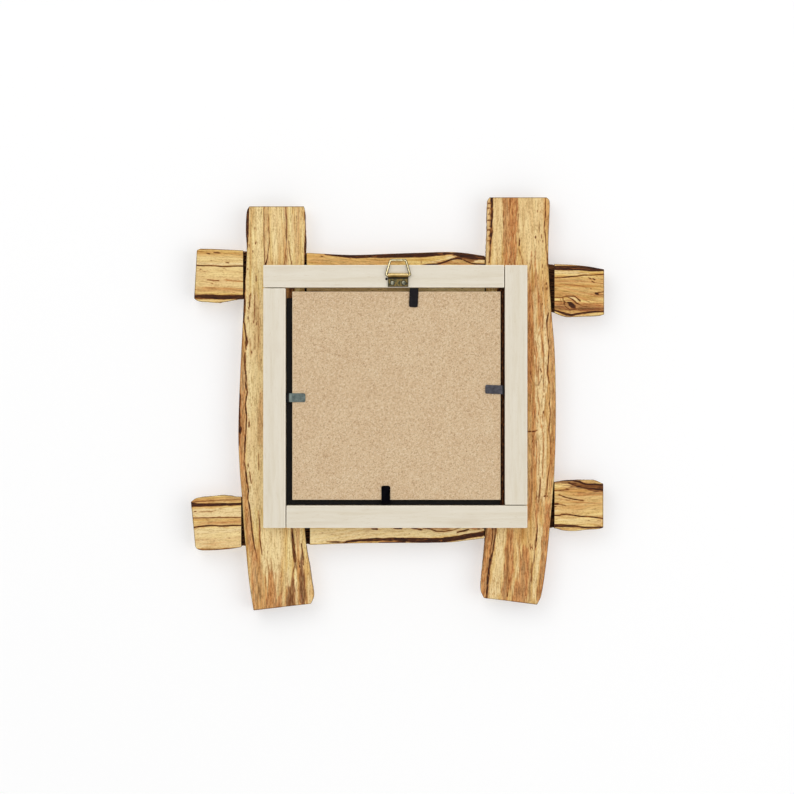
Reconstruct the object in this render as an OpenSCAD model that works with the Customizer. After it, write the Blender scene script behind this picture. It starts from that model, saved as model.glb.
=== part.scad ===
// Rustic picture frame of four live-edge planks, halved into each other at the
// corners, with a glazed well framed by four strips behind them and a ring to
// hang it by. The front faces -Y, the back faces +Y, and +Z is up as it hangs.
// Left and right are those of a viewer who stands before the front.

/* [Planks] */
// Width of a post without its waves
post_w = 39; // [32:0.5:46]
// Width of a rail without its waves
rail_w = 31; // [25:0.5:38]
// Thickness of a plank at its crown
plank_t = 14; // [10:0.5:20]
// Fall of the rounded front from the crown to a plank's edge
crown_drop = 3; // [1:0.25:4]
// How far the planks reach in over the well, as the ledge that holds the glass
ledge = 11; // [7:0.5:16]
// Slope of the top rail, higher at the right
top_slope = 2.25; // [0:0.25:4]
// Slope of the bottom rail, lower at the right
bottom_slope = 3; // [0:0.25:4]
// Slant of the posts' sawn bottom ends
foot_slant = 4; // [0:0.25:5]
// Slant of the top rail's sawn right end, longer below
top_end_slant = 1.6; // [0:0.1:3]
// Slant of the bottom rail's sawn right end, longer above
bottom_end_slant = 2.6; // [0:0.1:3]
// Gap between a plank's edge and the wall of the notch that it lies in
lap_gap = 0.4; // [0.3:0.1:1.5]
// Extra gap at the notch walls that were sawn wide
lap_wide_gap = 1.8; // [0:0.1:3]

/* [Plank ends] */
// Left post, length above the top rail
left_post_above = 35.5; // [20:0.5:60]
// Left post, length below the bottom rail
left_post_below = 39; // [20:0.5:60]
// Right post, length above the top rail
right_post_above = 30; // [20:0.5:60]
// Right post, length below the bottom rail
right_post_below = 42.5; // [20:0.5:60]
// Top rail, length past the left post
top_rail_left = 33; // [20:0.5:60]
// Top rail, length past the right post
top_rail_right = 27.5; // [20:0.5:60]
// Bottom rail, length past the left post
bottom_rail_left = 32.5; // [20:0.5:60]
// Bottom rail, length past the right post
bottom_rail_right = 29; // [20:0.5:60]

/* [Subframe] */
// Width of a strip
strip_w = 13.6; // [12:0.2:18]
// Depth of a strip behind the planks
strip_d = 10; // [9.6:0.2:16]
// Gap at the butt joints between the strips
strip_gap = 0.5; // [0.2:0.1:1]
// Room across the well beside the board
play_x = 6.6; // [4:0.2:10]
// Room up the well beside the board
play_z = 5.8; // [3:0.2:10]

/* [Glazing] */
// Width of the backing board, a five inch picture
board_w = 127; // [90:1:160]
// Height of the backing board
board_h = 127; // [90:1:160]
// Thickness of the backing board
board_t = 3; // [2:0.1:3.2]
// How far the board lies left of the well's middle
board_left = 0.7; // [0:0.1:1.5]
// How far the board lies above the well's middle
board_up = 0.5; // [0:0.1:1]
// Thickness of the glass
glass_t = 2; // [1.6:0.1:2.2]
// How much smaller than the board the glass and the sheet are cut
sheet_trim = 0.6; // [0:0.1:2]
// Thickness of the blank picture sheet
sheet_t = 0.3; // [0.2:0.05:0.5]
// Thickness of the mat
mat_t = 1.4; // [0.8:0.1:1.6]
// How much wider than the board the mat is
mat_over_w = 3.4; // [0:0.1:3.4]
// How much lower than the board the mat is
mat_under_h = 0.8; // [0:0.1:3]
// Gap between the mat and the two walls that it is pushed against
mat_seat = 0.3; // [0.2:0.1:0.5]
// Width of the mat's border round its window
mat_border = 25; // [16:1:35]

/* [Retaining tabs] */
// Width of a tab
tab_w = 5.4; // [4:0.2:8]
// Thickness of a tab
tab_t = 0.4; // [0.3:0.05:0.6]
// Length of a tab past the wall that it is driven into
tab_l = 12; // [8:0.5:16]
// Length of the tang inside the strip
tang_l = 5; // [3:0.5:7]
// Radius of the corners at a tab's tip
tab_tip_r = 1.1; // [0.4:0.1:1.8]
// Height of a tab above the board, and its distance from the wall
tab_gap = 0.3; // [0.2:0.05:0.4]
// Clearance round a tang in its slot
slot_gap = 0.05; // [0.02:0.01:0.1]
// Top tab, distance left of the well's middle
top_tab_left = 11.5; // [10:0.5:40]
// Bottom tab, distance right of the well's middle
bottom_tab_right = 5.8; // [-40:0.1:40]
// Left tab, distance above the well's middle
left_tab_up = 4; // [-40:0.5:40]
// Right tab, distance below the well's middle
right_tab_down = 0.7; // [-40:0.1:40]
// Twist of the top and the left tab in the plane of the board
tab_twist = 2.5; // [0:0.5:5]

/* [Hanger] */
// Width of the strap
strap_w = 12.4; // [9:0.2:14]
// Thickness of the doubled strap
strap_t = 1.2; // [0.8:0.1:1.4]
// Thickness of the single sheet that is rolled round the wire
sheet_metal_t = 0.6; // [0.4:0.05:0.7]
// Distance of the strap's middle left of the well's middle
hanger_left = 1.7; // [-5:0.1:3]
// Height of the ring's pin above the well's top wall
pin_rise = 7.3; // [6:0.1:9]
// Distance from the well's top wall to the strap's lower end
strap_setback = 0.3; // [0:0.1:1]
// Diameter of the ring's wire
wire_d = 1.4; // [1:0.1:1.8]
// Radial clearance of the wire in the rolled strap
pin_gap = 0.06; // [0.02:0.01:0.1]
// Gap between the strap's side and the ring's leg
leg_gap = 0.5; // [0.3:0.1:1]
// Height of the ring from its pin to its top bar, between wire centres
ring_h = 9.6; // [9.2:0.1:16]
// Width of the ring's top bar, between wire centres
ring_top_w = 9.4; // [7:0.1:12]
// Diameter of a nail's shank
nail_d = 1.2; // [0.8:0.1:1.6]
// Length of a nail's shank in the wood
nail_l = 7; // [4:0.5:9]
// Diameter of a nail's head
nail_head_d = 2.4; // [2:0.1:3]
// Height of a nail's head
nail_head_h = 0.5; // [0.3:0.1:0.8]
// Distance between the two nails
nail_spacing = 6.8; // [4:0.2:8]
// Height of the nails above the strap's lower end
nail_up = 2.4; // [1.6:0.1:3]
// Radial clearance of a nail in its holes
nail_gap = 0.05; // [0.02:0.01:0.1]
// How much thicker the wire is at its bends, all round
bend_swell = 0.06; // [0.04:0.01:0.1]
// Diameter of the empty hole beside the strap
stray_hole_d = 0.9; // [0.6:0.1:1.5]
// Depth of the empty hole
stray_hole_l = 4; // [2:0.5:8]
// Wood between the strap's side and the empty hole
stray_hole_off = 0.4; // [0.3:0.1:3]
// Distance of the empty hole below the pin
stray_hole_down = 2.2; // [0:0.1:5]

/* [Hidden] */
$fn = 48;
over = 1;
edge_room = 8;

well_w = board_w + play_x;
well_h = board_h + play_z;
post_x = well_w / 2 - ledge + post_w / 2;
rail_z = well_h / 2 - ledge + rail_w / 2;
lap_y = -plank_t / 2;
mat_w = board_w + mat_over_w;
mat_h = board_h - mat_under_h;

// The stack in the well, from the planks' back faces at y = 0
mat_y = glass_t;
sheet_y = mat_y + mat_t;
board_y = sheet_y + sheet_t;
board_back_y = board_y + board_t;
tab_y = board_back_y + tab_gap + tab_t / 2;

// The hanger, and the point inside the top of its ring that is the origin
wire_r = wire_d / 2;
roll_r = wire_r + pin_gap + sheet_metal_t;
pin_y = strip_d + roll_r;
pin_z = well_h / 2 + pin_rise;
ring_base_w = strap_w + 2 * leg_gap + wire_d;
strap_l = pin_rise - strap_setback;
stray_hole_x = -hanger_left + strap_w / 2 + stray_hole_off + stray_hole_d / 2;
hook = [-hanger_left, pin_y, pin_z + ring_h - wire_r];

// Live edges: how far an edge wanders outside the plank's plain half width, in
// millimetres, at fractions of its length from the bottom or the left end
left_post_outer = [
    [0, -8], [0.02, -5.6], [0.09, -2.8], [0.17, -0.7], [0.26, 1.4], [0.34, 2.8],
    [0.48, 3.5], [0.62, 2.8], [0.71, 1], [0.83, -1], [0.9, -1], [0.96, -0.4], [0.992, -0.4], [1, -2]
];
left_post_inner = [
    [0, 1.6], [0.02, 3.6], [0.06, 3.2], [0.1, 2.1], [0.18, 0.7], [0.35, 0.2],
    [0.5, 0.6], [0.68, 0.1], [0.83, 0.7], [0.92, 0], [0.99, -0.4], [1, -1.8]
];
right_post_outer = [
    [0, -8], [0.07, -5.3], [0.15, -3.4], [0.2, -2.1], [0.28, -0.9], [0.35, 0.5],
    [0.44, 1.3], [0.58, 0.2], [0.71, -1.4], [0.79, -2.3], [0.89, -3.9], [0.94, -3.3], [0.988, -3.9], [1, -5.4]
];
right_post_inner = [
    [0, 4.2], [0.02, 6.1], [0.06, 4.8], [0.1, 3.4], [0.13, 2], [0.17, 0.9], [0.2, 0.5],
    [0.35, 1], [0.5, 0.4], [0.7, 0.9], [0.85, 0.3], [0.89, 1.4], [0.94, 1.1], [0.985, 0.7], [1, -0.1]
];
top_rail_upper = [
    [0, -3.5], [0.04, -2.1], [0.08, -1.5], [0.13, -1.3], [0.29, 1.8], [0.35, 3.3],
    [0.39, 3.3], [0.47, 1.9], [0.52, 1], [0.62, -0.8], [0.72, -0.6], [0.88, -0.6], [0.99, -0.6], [1, -1.6]
];
top_rail_lower = [
    [0, 0.2], [0.01, 1], [0.08, 2.5], [0.105, 2], [0.13, -0.2], [0.3, 0.6], [0.52, 0.6],
    [0.7, 0.2], [0.88, -0.5], [0.94, 2.3], [0.97, 2.1], [0.99, 1.8], [1, 0.4]
];
bottom_rail_upper = [
    [0, -4.7], [0.022, -2.1], [0.06, -1.5], [0.095, -1.2], [0.12, -2.1], [0.3, -1],
    [0.5, -1.2], [0.7, -0.8], [0.88, -0.9], [0.92, 0.5], [0.96, 0.2], [0.99, -0.5], [1, -2.5]
];
bottom_rail_lower = [
    [0, 0.6], [0.01, 1.2], [0.04, 1.3], [0.07, 1.7], [0.1, 0.9], [0.12, -0.6], [0.29, 3.2],
    [0.34, 4.1], [0.37, 4.6], [0.44, 4.1], [0.51, 3.2], [0.61, 2.1], [0.71, 1.7], [0.87, 0.6],
    [0.92, 1.7], [0.98, 1.7], [0.995, 0.6], [1, -1]
];
edge_steps = 4;

// A smooth curve through an edge's points, with the mean slope at each of them
function edge_slope(e, i) =
    let (a = max(i - 1, 0), b = min(i + 1, len(e) - 1))
    (e[b][1] - e[a][1]) / (e[b][0] - e[a][0]);
function edge_piece(e, i, t) =
    let (w = e[i + 1][0] - e[i][0])
    e[i][1] * (1 + 2 * t) * pow(1 - t, 2) + e[i + 1][1] * t * t * (3 - 2 * t)
    + edge_slope(e, i) * w * t * pow(1 - t, 2) - edge_slope(e, i + 1) * w * t * t * (1 - t);
function edge_curve(e) = concat(
    [for (i = [0 : len(e) - 2]) for (k = [0 : edge_steps - 1])
        let (t = k / edge_steps)
        [e[i][0] + t * (e[i + 1][0] - e[i][0]), edge_piece(e, i, t)]],
    [e[len(e) - 1]]);

// A plank's edge as [along, across] points, on the side that side names
function edge_line(e, lo, hi, mid, half, slope, side) = [
    for (p = edge_curve(e))
    let (along = lo + p[0] * (hi - lo))
    [along, mid + along * tan(slope) + side * (half + p[1])]
];
function turned(line) = [for (i = [len(line) - 1 : -1 : 0]) line[i]];
function swapped(line) = [for (p = line) [p[1], p[0]]];

post_top = rail_z + rail_w / 2;
rail_end = post_x + post_w / 2;
bar_l = 6 * max(post_top, rail_end);
left_post_low = -post_top - left_post_below;
left_post_high = post_top + left_post_above;
right_post_low = -post_top - right_post_below;
right_post_high = post_top + right_post_above;

left_outer = edge_line(left_post_outer, left_post_low - foot_slant / 2, left_post_high,
    -post_x, post_w / 2, 0, -1);
left_inner = edge_line(left_post_inner, left_post_low + foot_slant / 2, left_post_high,
    -post_x, post_w / 2, 0, 1);
right_outer = edge_line(right_post_outer, right_post_low - foot_slant / 2, right_post_high,
    post_x, post_w / 2, 0, 1);
right_inner = edge_line(right_post_inner, right_post_low + foot_slant / 2, right_post_high,
    post_x, post_w / 2, 0, -1);
top_rail_end = rail_end + top_rail_right;
bottom_rail_end = rail_end + bottom_rail_right;
top_upper = edge_line(top_rail_upper, -rail_end - top_rail_left, top_rail_end - top_end_slant / 2,
    rail_z, rail_w / 2, top_slope, 1);
top_lower = edge_line(top_rail_lower, -rail_end - top_rail_left, top_rail_end + top_end_slant / 2,
    rail_z, rail_w / 2, top_slope, -1);
bottom_upper = edge_line(bottom_rail_upper, -rail_end - bottom_rail_left,
    bottom_rail_end + bottom_end_slant / 2, -rail_z, rail_w / 2, -bottom_slope, 1);
bottom_lower = edge_line(bottom_rail_lower, -rail_end - bottom_rail_left,
    bottom_rail_end - bottom_end_slant / 2, -rail_z, rail_w / 2, -bottom_slope, -1);

// The box that two planks share: [x low, x high, z low, z high]
function within(line, lo, hi) = [for (p = line) if (p[0] > lo && p[0] < hi) p[1]];
function crossing(a, b, lower, upper) =
    let (x_all = concat([for (p = a) p[1]], [for (p = b) p[1]]))
    let (z_in = concat(within(lower, min(x_all), max(x_all)), within(upper, min(x_all), max(x_all))))
    let (x_in = concat(within(a, min(z_in), max(z_in)), within(b, min(z_in), max(z_in))))
    [min(x_in), max(x_in), min(z_in), max(z_in)];
left_top = crossing(left_outer, left_inner, top_lower, top_upper);
left_bottom = crossing(left_outer, left_inner, bottom_lower, bottom_upper);
right_top = crossing(right_outer, right_inner, top_lower, top_upper);
right_bottom = crossing(right_outer, right_inner, bottom_lower, bottom_upper);

module placed() {
    translate(-hook) children();
}

// Everything between two depths inside an outline drawn in X and Z
module slab(y_low, y_high) {
    translate([0, y_high, 0]) rotate([90, 0, 0]) linear_extrude(y_high - y_low) children();
}

module box(x, y, z) {
    translate([x[0], y[0], z[0]]) cube([x[1] - x[0], y[1] - y[0], z[1] - z[0]]);
}

// Flat back, and a front that falls from the crown to the edges in one arc
module crown_section(w) {
    crown_r = (w * w / 4 + crown_drop * crown_drop) / (2 * crown_drop);
    reach = w / 2 + edge_room;
    intersection() {
        translate([-reach, -plank_t]) square([2 * reach, plank_t]);
        translate([0, crown_r - plank_t]) circle(crown_r, $fn = 180);
    }
}

// A post stands behind the rails, so its front half is notched where they cross
module post(outer, inner, mid, crossings) {
    difference() {
        intersection() {
            slab(-plank_t, 0) polygon(concat(swapped(outer), swapped(turned(inner))));
            translate([mid, 0, -bar_l / 2]) linear_extrude(bar_l) crown_section(post_w);
        }
        for (c = crossings)
            box([mid - post_w, mid + post_w], [-plank_t - over, lap_y],
                [c[2] - lap_gap, c[3] + lap_gap]);
    }
}

// A rail runs in front of the posts, so its back half is notched; each notch is
// [crossing, extra gap at its low side, extra gap at its high side]
module rail(upper, lower, mid, slope, notches) {
    difference() {
        intersection() {
            slab(-plank_t, 0) polygon(concat(upper, turned(lower)));
            translate([0, 0, mid]) rotate([0, 90 - slope, 0])
                linear_extrude(bar_l, center = true) crown_section(rail_w);
        }
        for (n = notches)
            box([n[0][0] - lap_gap - n[1], n[0][1] + lap_gap + n[2]], [lap_y, over],
                [mid - 2 * rail_w, mid + 2 * rail_w]);
    }
}

module left_post() {
    color("burlywood") placed()
        post(left_outer, left_inner, -post_x, [left_top, left_bottom]);
}

module right_post() {
    color("tan") placed()
        post(right_outer, right_inner, post_x, [right_top, right_bottom]);
}

module top_rail() {
    color("wheat") placed()
        rail(top_upper, top_lower, rail_z, top_slope,
            [[left_top, lap_wide_gap, 0], [right_top, 0, 0]]);
}

module bottom_rail() {
    color("navajowhite") placed()
        rail(bottom_upper, bottom_lower, -rail_z, -bottom_slope,
            [[left_bottom, 0, 0], [right_bottom, lap_wide_gap, 0]]);
}

// The strips butt round the well like a pinwheel. A strip, a tang and a tab are
// each drawn at the bottom of a well w wide and h high, then turned into place.
module turned_right() {
    rotate([0, -90, 0]) children();
}

module turned_top() {
    rotate([0, 180, 0]) children();
}

module turned_left() {
    rotate([0, 90, 0]) children();
}

module strip(w, h, tab_at) {
    difference() {
        box([-w / 2 - strip_w, w / 2 - strip_gap], [0, strip_d], [-h / 2 - strip_w, -h / 2]);
        tang(h, tab_at, slot_gap, over);
    }
}

// The part of a tab that is driven into a strip, or the slot that it cuts
module tang(h, at, gap, past) {
    box([at - tab_w / 2 - gap, at + tab_w / 2 + gap],
        [tab_y - tab_t / 2 - gap, tab_y + tab_t / 2 + gap],
        [-h / 2 - tang_l - gap, -h / 2 + past]);
}

// The part of a tab that lies over the board and bends up to let it out
module tab(h, at, twist) {
    slab(tab_y - tab_t / 2, tab_y + tab_t / 2) intersection() {
        translate([at, -h / 2]) rotate(twist) {
            translate([-tab_w / 2, -over]) square([tab_w, tab_l - tab_tip_r + over]);
            translate([tab_tip_r - tab_w / 2, 0]) square([tab_w - 2 * tab_tip_r, tab_l]);
            for (side = [-1, 1])
                translate([side * (tab_w / 2 - tab_tip_r), tab_l - tab_tip_r]) circle(tab_tip_r);
        }
        translate([at - tab_l, -h / 2 + tab_gap]) square([2 * tab_l, 2 * tab_l]);
    }
}

module strip_bottom() {
    color("cornsilk") placed() strip(well_w, well_h, bottom_tab_right);
}

module strip_right() {
    color("beige") placed() turned_right() strip(well_h, well_w, -right_tab_down);
}

module strip_top() {
    color("cornsilk") placed() difference() {
        turned_top() strip(well_w, well_h, top_tab_left);
        nail_places() nail_shank(nail_gap, over);
        translate([stray_hole_x, strip_d - stray_hole_l, pin_z - stray_hole_down]) rotate([-90, 0, 0])
            cylinder(d = stray_hole_d, h = stray_hole_l + over);
    }
}

module strip_left() {
    color("beige") placed() turned_left() strip(well_h, well_w, -left_tab_up);
}

// What lies in the well, each piece flat against the one before it
module glass_pane() {
    color("lightcyan", 0.4) placed()
        board_shape(board_w - sheet_trim, board_h - sheet_trim, 0, glass_t);
}

module mat_board() {
    color("#262422") placed() difference() {
        mat_slab(mat_w, mat_h, mat_y, mat_y + mat_t);
        mat_slab(mat_w - 2 * mat_border, mat_h - 2 * mat_border, mat_y - over, mat_y + mat_t + over);
    }
}

module picture_sheet() {
    color("ivory") placed()
        board_shape(board_w - sheet_trim, board_h - sheet_trim, sheet_y, sheet_y + sheet_t);
}

module backing_board() {
    color("#d0b491") placed() board_shape(board_w, board_h, board_y, board_back_y);
}

module board_shape(w, h, y_low, y_high) {
    box([-board_left - w / 2, -board_left + w / 2], [y_low, y_high], [board_up - h / 2, board_up + h / 2]);
}

// The mat has slid into the well's bottom right corner
module mat_slab(w, h, y_low, y_high) {
    mid_x = well_w / 2 - mat_seat - mat_w / 2;
    mid_z = -well_h / 2 + mat_seat + mat_h / 2;
    box([mid_x - w / 2, mid_x + w / 2], [y_low, y_high], [mid_z - h / 2, mid_z + h / 2]);
}

module top_tab() {
    color("#2a2828") placed() turned_top() tab(well_h, top_tab_left, tab_twist);
}

module bottom_tab() {
    color("#2a2828") placed() tab(well_h, bottom_tab_right, 0);
}

module left_tab() {
    color("#3c3c3e") placed() turned_left() tab(well_w, -left_tab_up, tab_twist);
}

module right_tab() {
    color("#4a5050") placed() turned_right() tab(well_w, -right_tab_down, 0);
}

module tab_tangs() {
    color("#2a2828") placed() {
        tang(well_h, bottom_tab_right, 0, 0);
        turned_right() tang(well_w, -right_tab_down, 0, 0);
        turned_top() tang(well_h, top_tab_left, 0, 0);
        turned_left() tang(well_w, -left_tab_up, 0, 0);
    }
}

// The strap is one band folded double, with the ring's pin in the fold
module hanger_strap() {
    color("#8a7a48") placed() difference() {
        union() {
            translate([-hanger_left - strap_w / 2, pin_y, pin_z]) rotate([0, 90, 0])
                cylinder(r = roll_r, h = strap_w);
            box([-hanger_left - strap_w / 2, -hanger_left + strap_w / 2],
                [strip_d, strip_d + strap_t], [pin_z - strap_l, pin_z]);
        }
        translate([-hanger_left - strap_w / 2 - over, pin_y, pin_z]) rotate([0, 90, 0])
            cylinder(r = wire_r + pin_gap, h = strap_w + 2 * over);
        nail_places() nail_shank(nail_gap, over);
    }
}

module nail_places() {
    for (side = [-1, 1])
        translate([-hanger_left + side * nail_spacing / 2, strip_d, pin_z - strap_l + nail_up]) children();
}

module nail_shank(gap, past) {
    translate([0, -nail_l - gap, 0]) rotate([-90, 0, 0])
        cylinder(d = nail_d + 2 * gap, h = nail_l + gap + strap_t + past);
}

module hanger_nails() {
    dome_r = (nail_head_d * nail_head_d / 4 + nail_head_h * nail_head_h) / (2 * nail_head_h);
    color("#6e6238") placed() nail_places() {
        nail_shank(0, 0);
        intersection() {
            translate([0, strap_t + nail_head_h - dome_r, 0]) sphere(dome_r);
            box([-nail_head_d, nail_head_d], [strap_t, strap_t + 2 * nail_head_h],
                [-nail_head_d, nail_head_d]);
        }
    }
}

// The ring is one wire bent at four corners, where it is a little thicker
ring_corners = [
    [-ring_base_w / 2, 0], [ring_base_w / 2, 0], [ring_top_w / 2, ring_h], [-ring_top_w / 2, ring_h]
];

module ring_side(from, to) {
    run = to - from;
    translate([from[0], 0, from[1]]) rotate([0, 90 - atan2(run[1], run[0]), 0])
        cylinder(r = wire_r, h = norm(run));
}

module hanger_ring() {
    color("#b8a468") placed() translate([-hanger_left, pin_y, pin_z])
        for (i = [0 : 3]) {
            ring_side(ring_corners[i], ring_corners[(i + 1) % 4]);
            translate([ring_corners[i][0], 0, ring_corners[i][1]]) sphere(wire_r + bend_swell);
        }
}

left_post();
right_post();
top_rail();
bottom_rail();
strip_top();
strip_bottom();
strip_left();
strip_right();
glass_pane();
mat_board();
picture_sheet();
backing_board();
top_tab();
bottom_tab();
left_tab();
right_tab();
tab_tangs();
hanger_strap();
hanger_ring();
hanger_nails();
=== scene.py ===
import math

import bmesh
import bpy
import numpy as np
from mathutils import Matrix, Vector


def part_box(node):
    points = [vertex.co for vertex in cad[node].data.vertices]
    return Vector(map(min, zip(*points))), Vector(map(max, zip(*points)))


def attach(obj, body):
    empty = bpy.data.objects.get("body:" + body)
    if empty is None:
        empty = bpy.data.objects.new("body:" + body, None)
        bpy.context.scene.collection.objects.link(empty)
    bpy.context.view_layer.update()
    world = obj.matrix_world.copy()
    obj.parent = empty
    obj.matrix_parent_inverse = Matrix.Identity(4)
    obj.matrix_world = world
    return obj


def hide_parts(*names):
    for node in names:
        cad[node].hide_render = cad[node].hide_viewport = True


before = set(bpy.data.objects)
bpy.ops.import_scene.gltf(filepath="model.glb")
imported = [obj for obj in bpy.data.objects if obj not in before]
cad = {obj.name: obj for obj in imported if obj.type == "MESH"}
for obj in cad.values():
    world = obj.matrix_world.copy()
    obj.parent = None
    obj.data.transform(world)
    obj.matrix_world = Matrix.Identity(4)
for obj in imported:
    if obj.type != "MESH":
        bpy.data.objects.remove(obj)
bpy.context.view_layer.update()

# Rustic picture frame seen from the back. Lengths in the dictionaries are millimetres, unless
# a comment says metres. Colours are written as they should look, red green blue, 0 to 255.
mm = 0.001
wellMiddle = np.array([1.7, -11.36, -82.6])  # middle of the well, on the planks' back faces
white = (1.0, 1.0, 1.0, 1.0)

photoCamera = {
    "lens": 135.0,  # on the sensor's width
    "sensor": 36.0,
    "distance": 1822.0,  # from the planks' back faces
    "aim": (0.66, -82.9),  # across and up, at the middle of the picture
    "clip": 40.0,  # metres
}

studio = {
    "roomLight": 0.6,  # what the white room adds to every face
    "lamps": [  # name, place in metres, side of the square, watts
        ("keyBack", (0.7, 2.0, 0.9), 1.6, 14.0),
        ("fillBack", (-1.2, 1.8, -0.3), 1.6, 11.0),
        ("keyFront", (-0.7, -2.0, 0.9), 1.6, 14.0),
        ("fillFront", (1.2, -1.8, -0.3), 1.6, 11.0),
    ],
    "wallY": -27.5,  # pale wall that the front rests against
    "floorZ": -345.0,
    "wallReach": 2.0,  # metres, to each side and up
    "floorReach": 4.0,
    "sheetShade": 0.62,  # how much of a shadow the pale wall and floor keep
    "sheetWhite": 1.03,  # their shade and glow together
    "fadeFrom": 0.28,  # metres from the middle of the object's top
    "fadeTo": 0.75,
}


def linear(rgb):
    # a screen colour to the light that it stands for, by the sRGB curve
    c = np.array(rgb, float) / 255.0
    low = c / 12.92
    high = ((c + 0.055) / 1.055) ** 2.4
    return (*np.where(c <= 0.04045, low, high).tolist(), 1.0)


def addObject(name, data):
    # a new object in the scene, at the origin
    made = bpy.data.objects.new(name, data)
    bpy.context.scene.collection.objects.link(made)
    return made


def addCamera(v):
    # level, square behind the planks and looking towards the front, -Y
    data = bpy.data.cameras.new("photoCamera")
    data.lens = v["lens"]
    data.sensor_width = v["sensor"]
    data.clip_end = v["clip"]
    cam = addObject("photoCamera", data)
    cam.location = (v["aim"][0] * mm, (wellMiddle[1] + v["distance"]) * mm, v["aim"][1] * mm)
    cam.rotation_euler = (math.pi / 2, 0.0, math.pi)
    bpy.context.scene.camera = cam


def addLamps(v):
    # each lamp's -Z looks at the middle of the object
    middle = bpy.context.scene.camera.location.copy()
    middle.y = 0.0
    for name, place, side, watts in v["lamps"]:
        data = bpy.data.lights.new(name, "AREA")
        data.shape = "SQUARE"
        data.size = side
        data.energy = watts
        lamp = addObject(name, data)
        lamp.location = place
        lamp.rotation_euler = (lamp.location - middle).to_track_quat("Z", "Y").to_euler()


def addNode(tree, kind, settings=None, inputs=None):
    # one shader node; an input is a number, a colour or another node's socket
    made = tree.nodes.new(kind)
    for key, value in (settings or {}).items():
        setattr(made, key, value)
    for key, value in (inputs or {}).items():
        if isinstance(value, bpy.types.NodeSocket):
            tree.links.new(value, made.inputs[key])
        else:
            made.inputs[key].default_value = value
    return made


def maths(tree, operation, a, b=0.0, clamp=False):
    # a and b joined by one sum; b is left unused where the operation takes one value
    settings = {"operation": operation, "use_clamp": clamp}
    return addNode(tree, "ShaderNodeMath", settings, {0: a, 1: b}).outputs[0]


def vectorMaths(tree, operation, a, b=(0.0, 0.0, 0.0)):
    # the same for vectors, part by part; a length comes out as a plain value
    made = addNode(tree, "ShaderNodeVectorMath", {"operation": operation}, {0: a, 1: b})
    return made.outputs["Value" if operation == "LENGTH" else "Vector"]


def shaderMix(tree, amount, under, over):
    # under where amount is nothing, over where it is one
    return addNode(tree, "ShaderNodeMixShader", None, {0: amount, 1: under, 2: over}).outputs[0]


def emission(tree, strength):
    # white light of that strength
    made = addNode(tree, "ShaderNodeEmission", None, {"Color": white, "Strength": strength})
    return made.outputs[0]


def addRoom(v):
    # white for the eye, for gloss and for glass; plain soft light for everything else
    world = bpy.data.worlds.new("whiteRoom")
    world.use_nodes = True
    tree = world.node_tree
    tree.nodes.clear()
    path = addNode(tree, "ShaderNodeLightPath").outputs
    seen = maths(tree, "MAXIMUM", path["Is Camera Ray"], path["Is Glossy Ray"])
    seen = maths(tree, "MAXIMUM", seen, path["Is Transmission Ray"])
    light, bright = (addNode(tree, "ShaderNodeBackground", None, {"Color": white, "Strength": strength})
                     for strength in (v["roomLight"], 1.0))
    both = shaderMix(tree, seen, light.outputs[0], bright.outputs[0])
    addNode(tree, "ShaderNodeOutputWorld", None, {0: both})
    bpy.context.scene.world = world


def newMaterial(name):
    # a material with no nodes yet, and its node tree
    made = bpy.data.materials.new(name)
    made.use_nodes = True
    made.node_tree.nodes.clear()
    return made, made.node_tree


def sheetMaterial(name, v):
    # a pale sheet that only the eye sees, and only from its own side. It is shaded only near
    # the object: further off it is plain white, so no horizon shows
    made, tree = newMaterial(name)
    shade = v["sheetShade"]
    matt = addNode(tree, "ShaderNodeBsdfDiffuse", None, {"Color": (shade, shade, shade, 1.0)})
    near = addNode(tree, "ShaderNodeAddShader", None,
                   {0: matt.outputs[0], 1: emission(tree, v["sheetWhite"] - shade)})
    away = vectorMaths(tree, "LENGTH", addNode(tree, "ShaderNodeTexCoord").outputs["Object"])
    faded = addNode(tree, "ShaderNodeMapRange", {"interpolation_type": "SMOOTHSTEP"},
                    {0: away, 1: v["fadeFrom"], 2: v["fadeTo"]}).outputs[0]
    pale = shaderMix(tree, faded, near.outputs[0], emission(tree, 1.0))
    eye = addNode(tree, "ShaderNodeLightPath").outputs["Is Camera Ray"]
    behind = addNode(tree, "ShaderNodeNewGeometry").outputs["Backfacing"]
    own = maths(tree, "SUBTRACT", eye, behind, clamp=True)
    clear = addNode(tree, "ShaderNodeBsdfTransparent").outputs[0]
    addNode(tree, "ShaderNodeOutputMaterial", None, {0: shaderMix(tree, own, clear, pale)})
    return made


def addSheet(name, corners, material):
    # one flat face of the stage
    mesh = bpy.data.meshes.new(name)
    mesh.from_pydata(corners, [], [(0, 1, 2, 3)])
    mesh.materials.append(material)
    sheet = addObject(name, mesh)


def addStage(v):
    # a wall that the front leans on and a floor below, both far larger than the object
    pale = sheetMaterial("paleSheet", v)
    y, z = v["wallY"] * mm, v["floorZ"] * mm
    a, b = v["wallReach"], v["floorReach"]
    addSheet("paleWall", [(a, y, z), (-a, y, z), (-a, y, a), (a, y, a)], pale)
    addSheet("paleFloor", [(-b, -b, z), (b, -b, z), (b, b, z), (-b, b, z)], pale)


addCamera(photoCamera)
addLamps(studio)
addRoom(studio)
addStage(studio)
bpy.context.scene.view_settings.view_transform = "Standard"
print("camera, lamps and pale stage are up")


def mixed(tree, amount, under, over, blend="MIX"):
    # one colour laid over another by amount
    made = addNode(tree, "ShaderNodeMix", {"data_type": "RGBA", "blend_type": blend},
                   {0: amount, 6: under, 7: over})
    return made.outputs[2]


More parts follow.
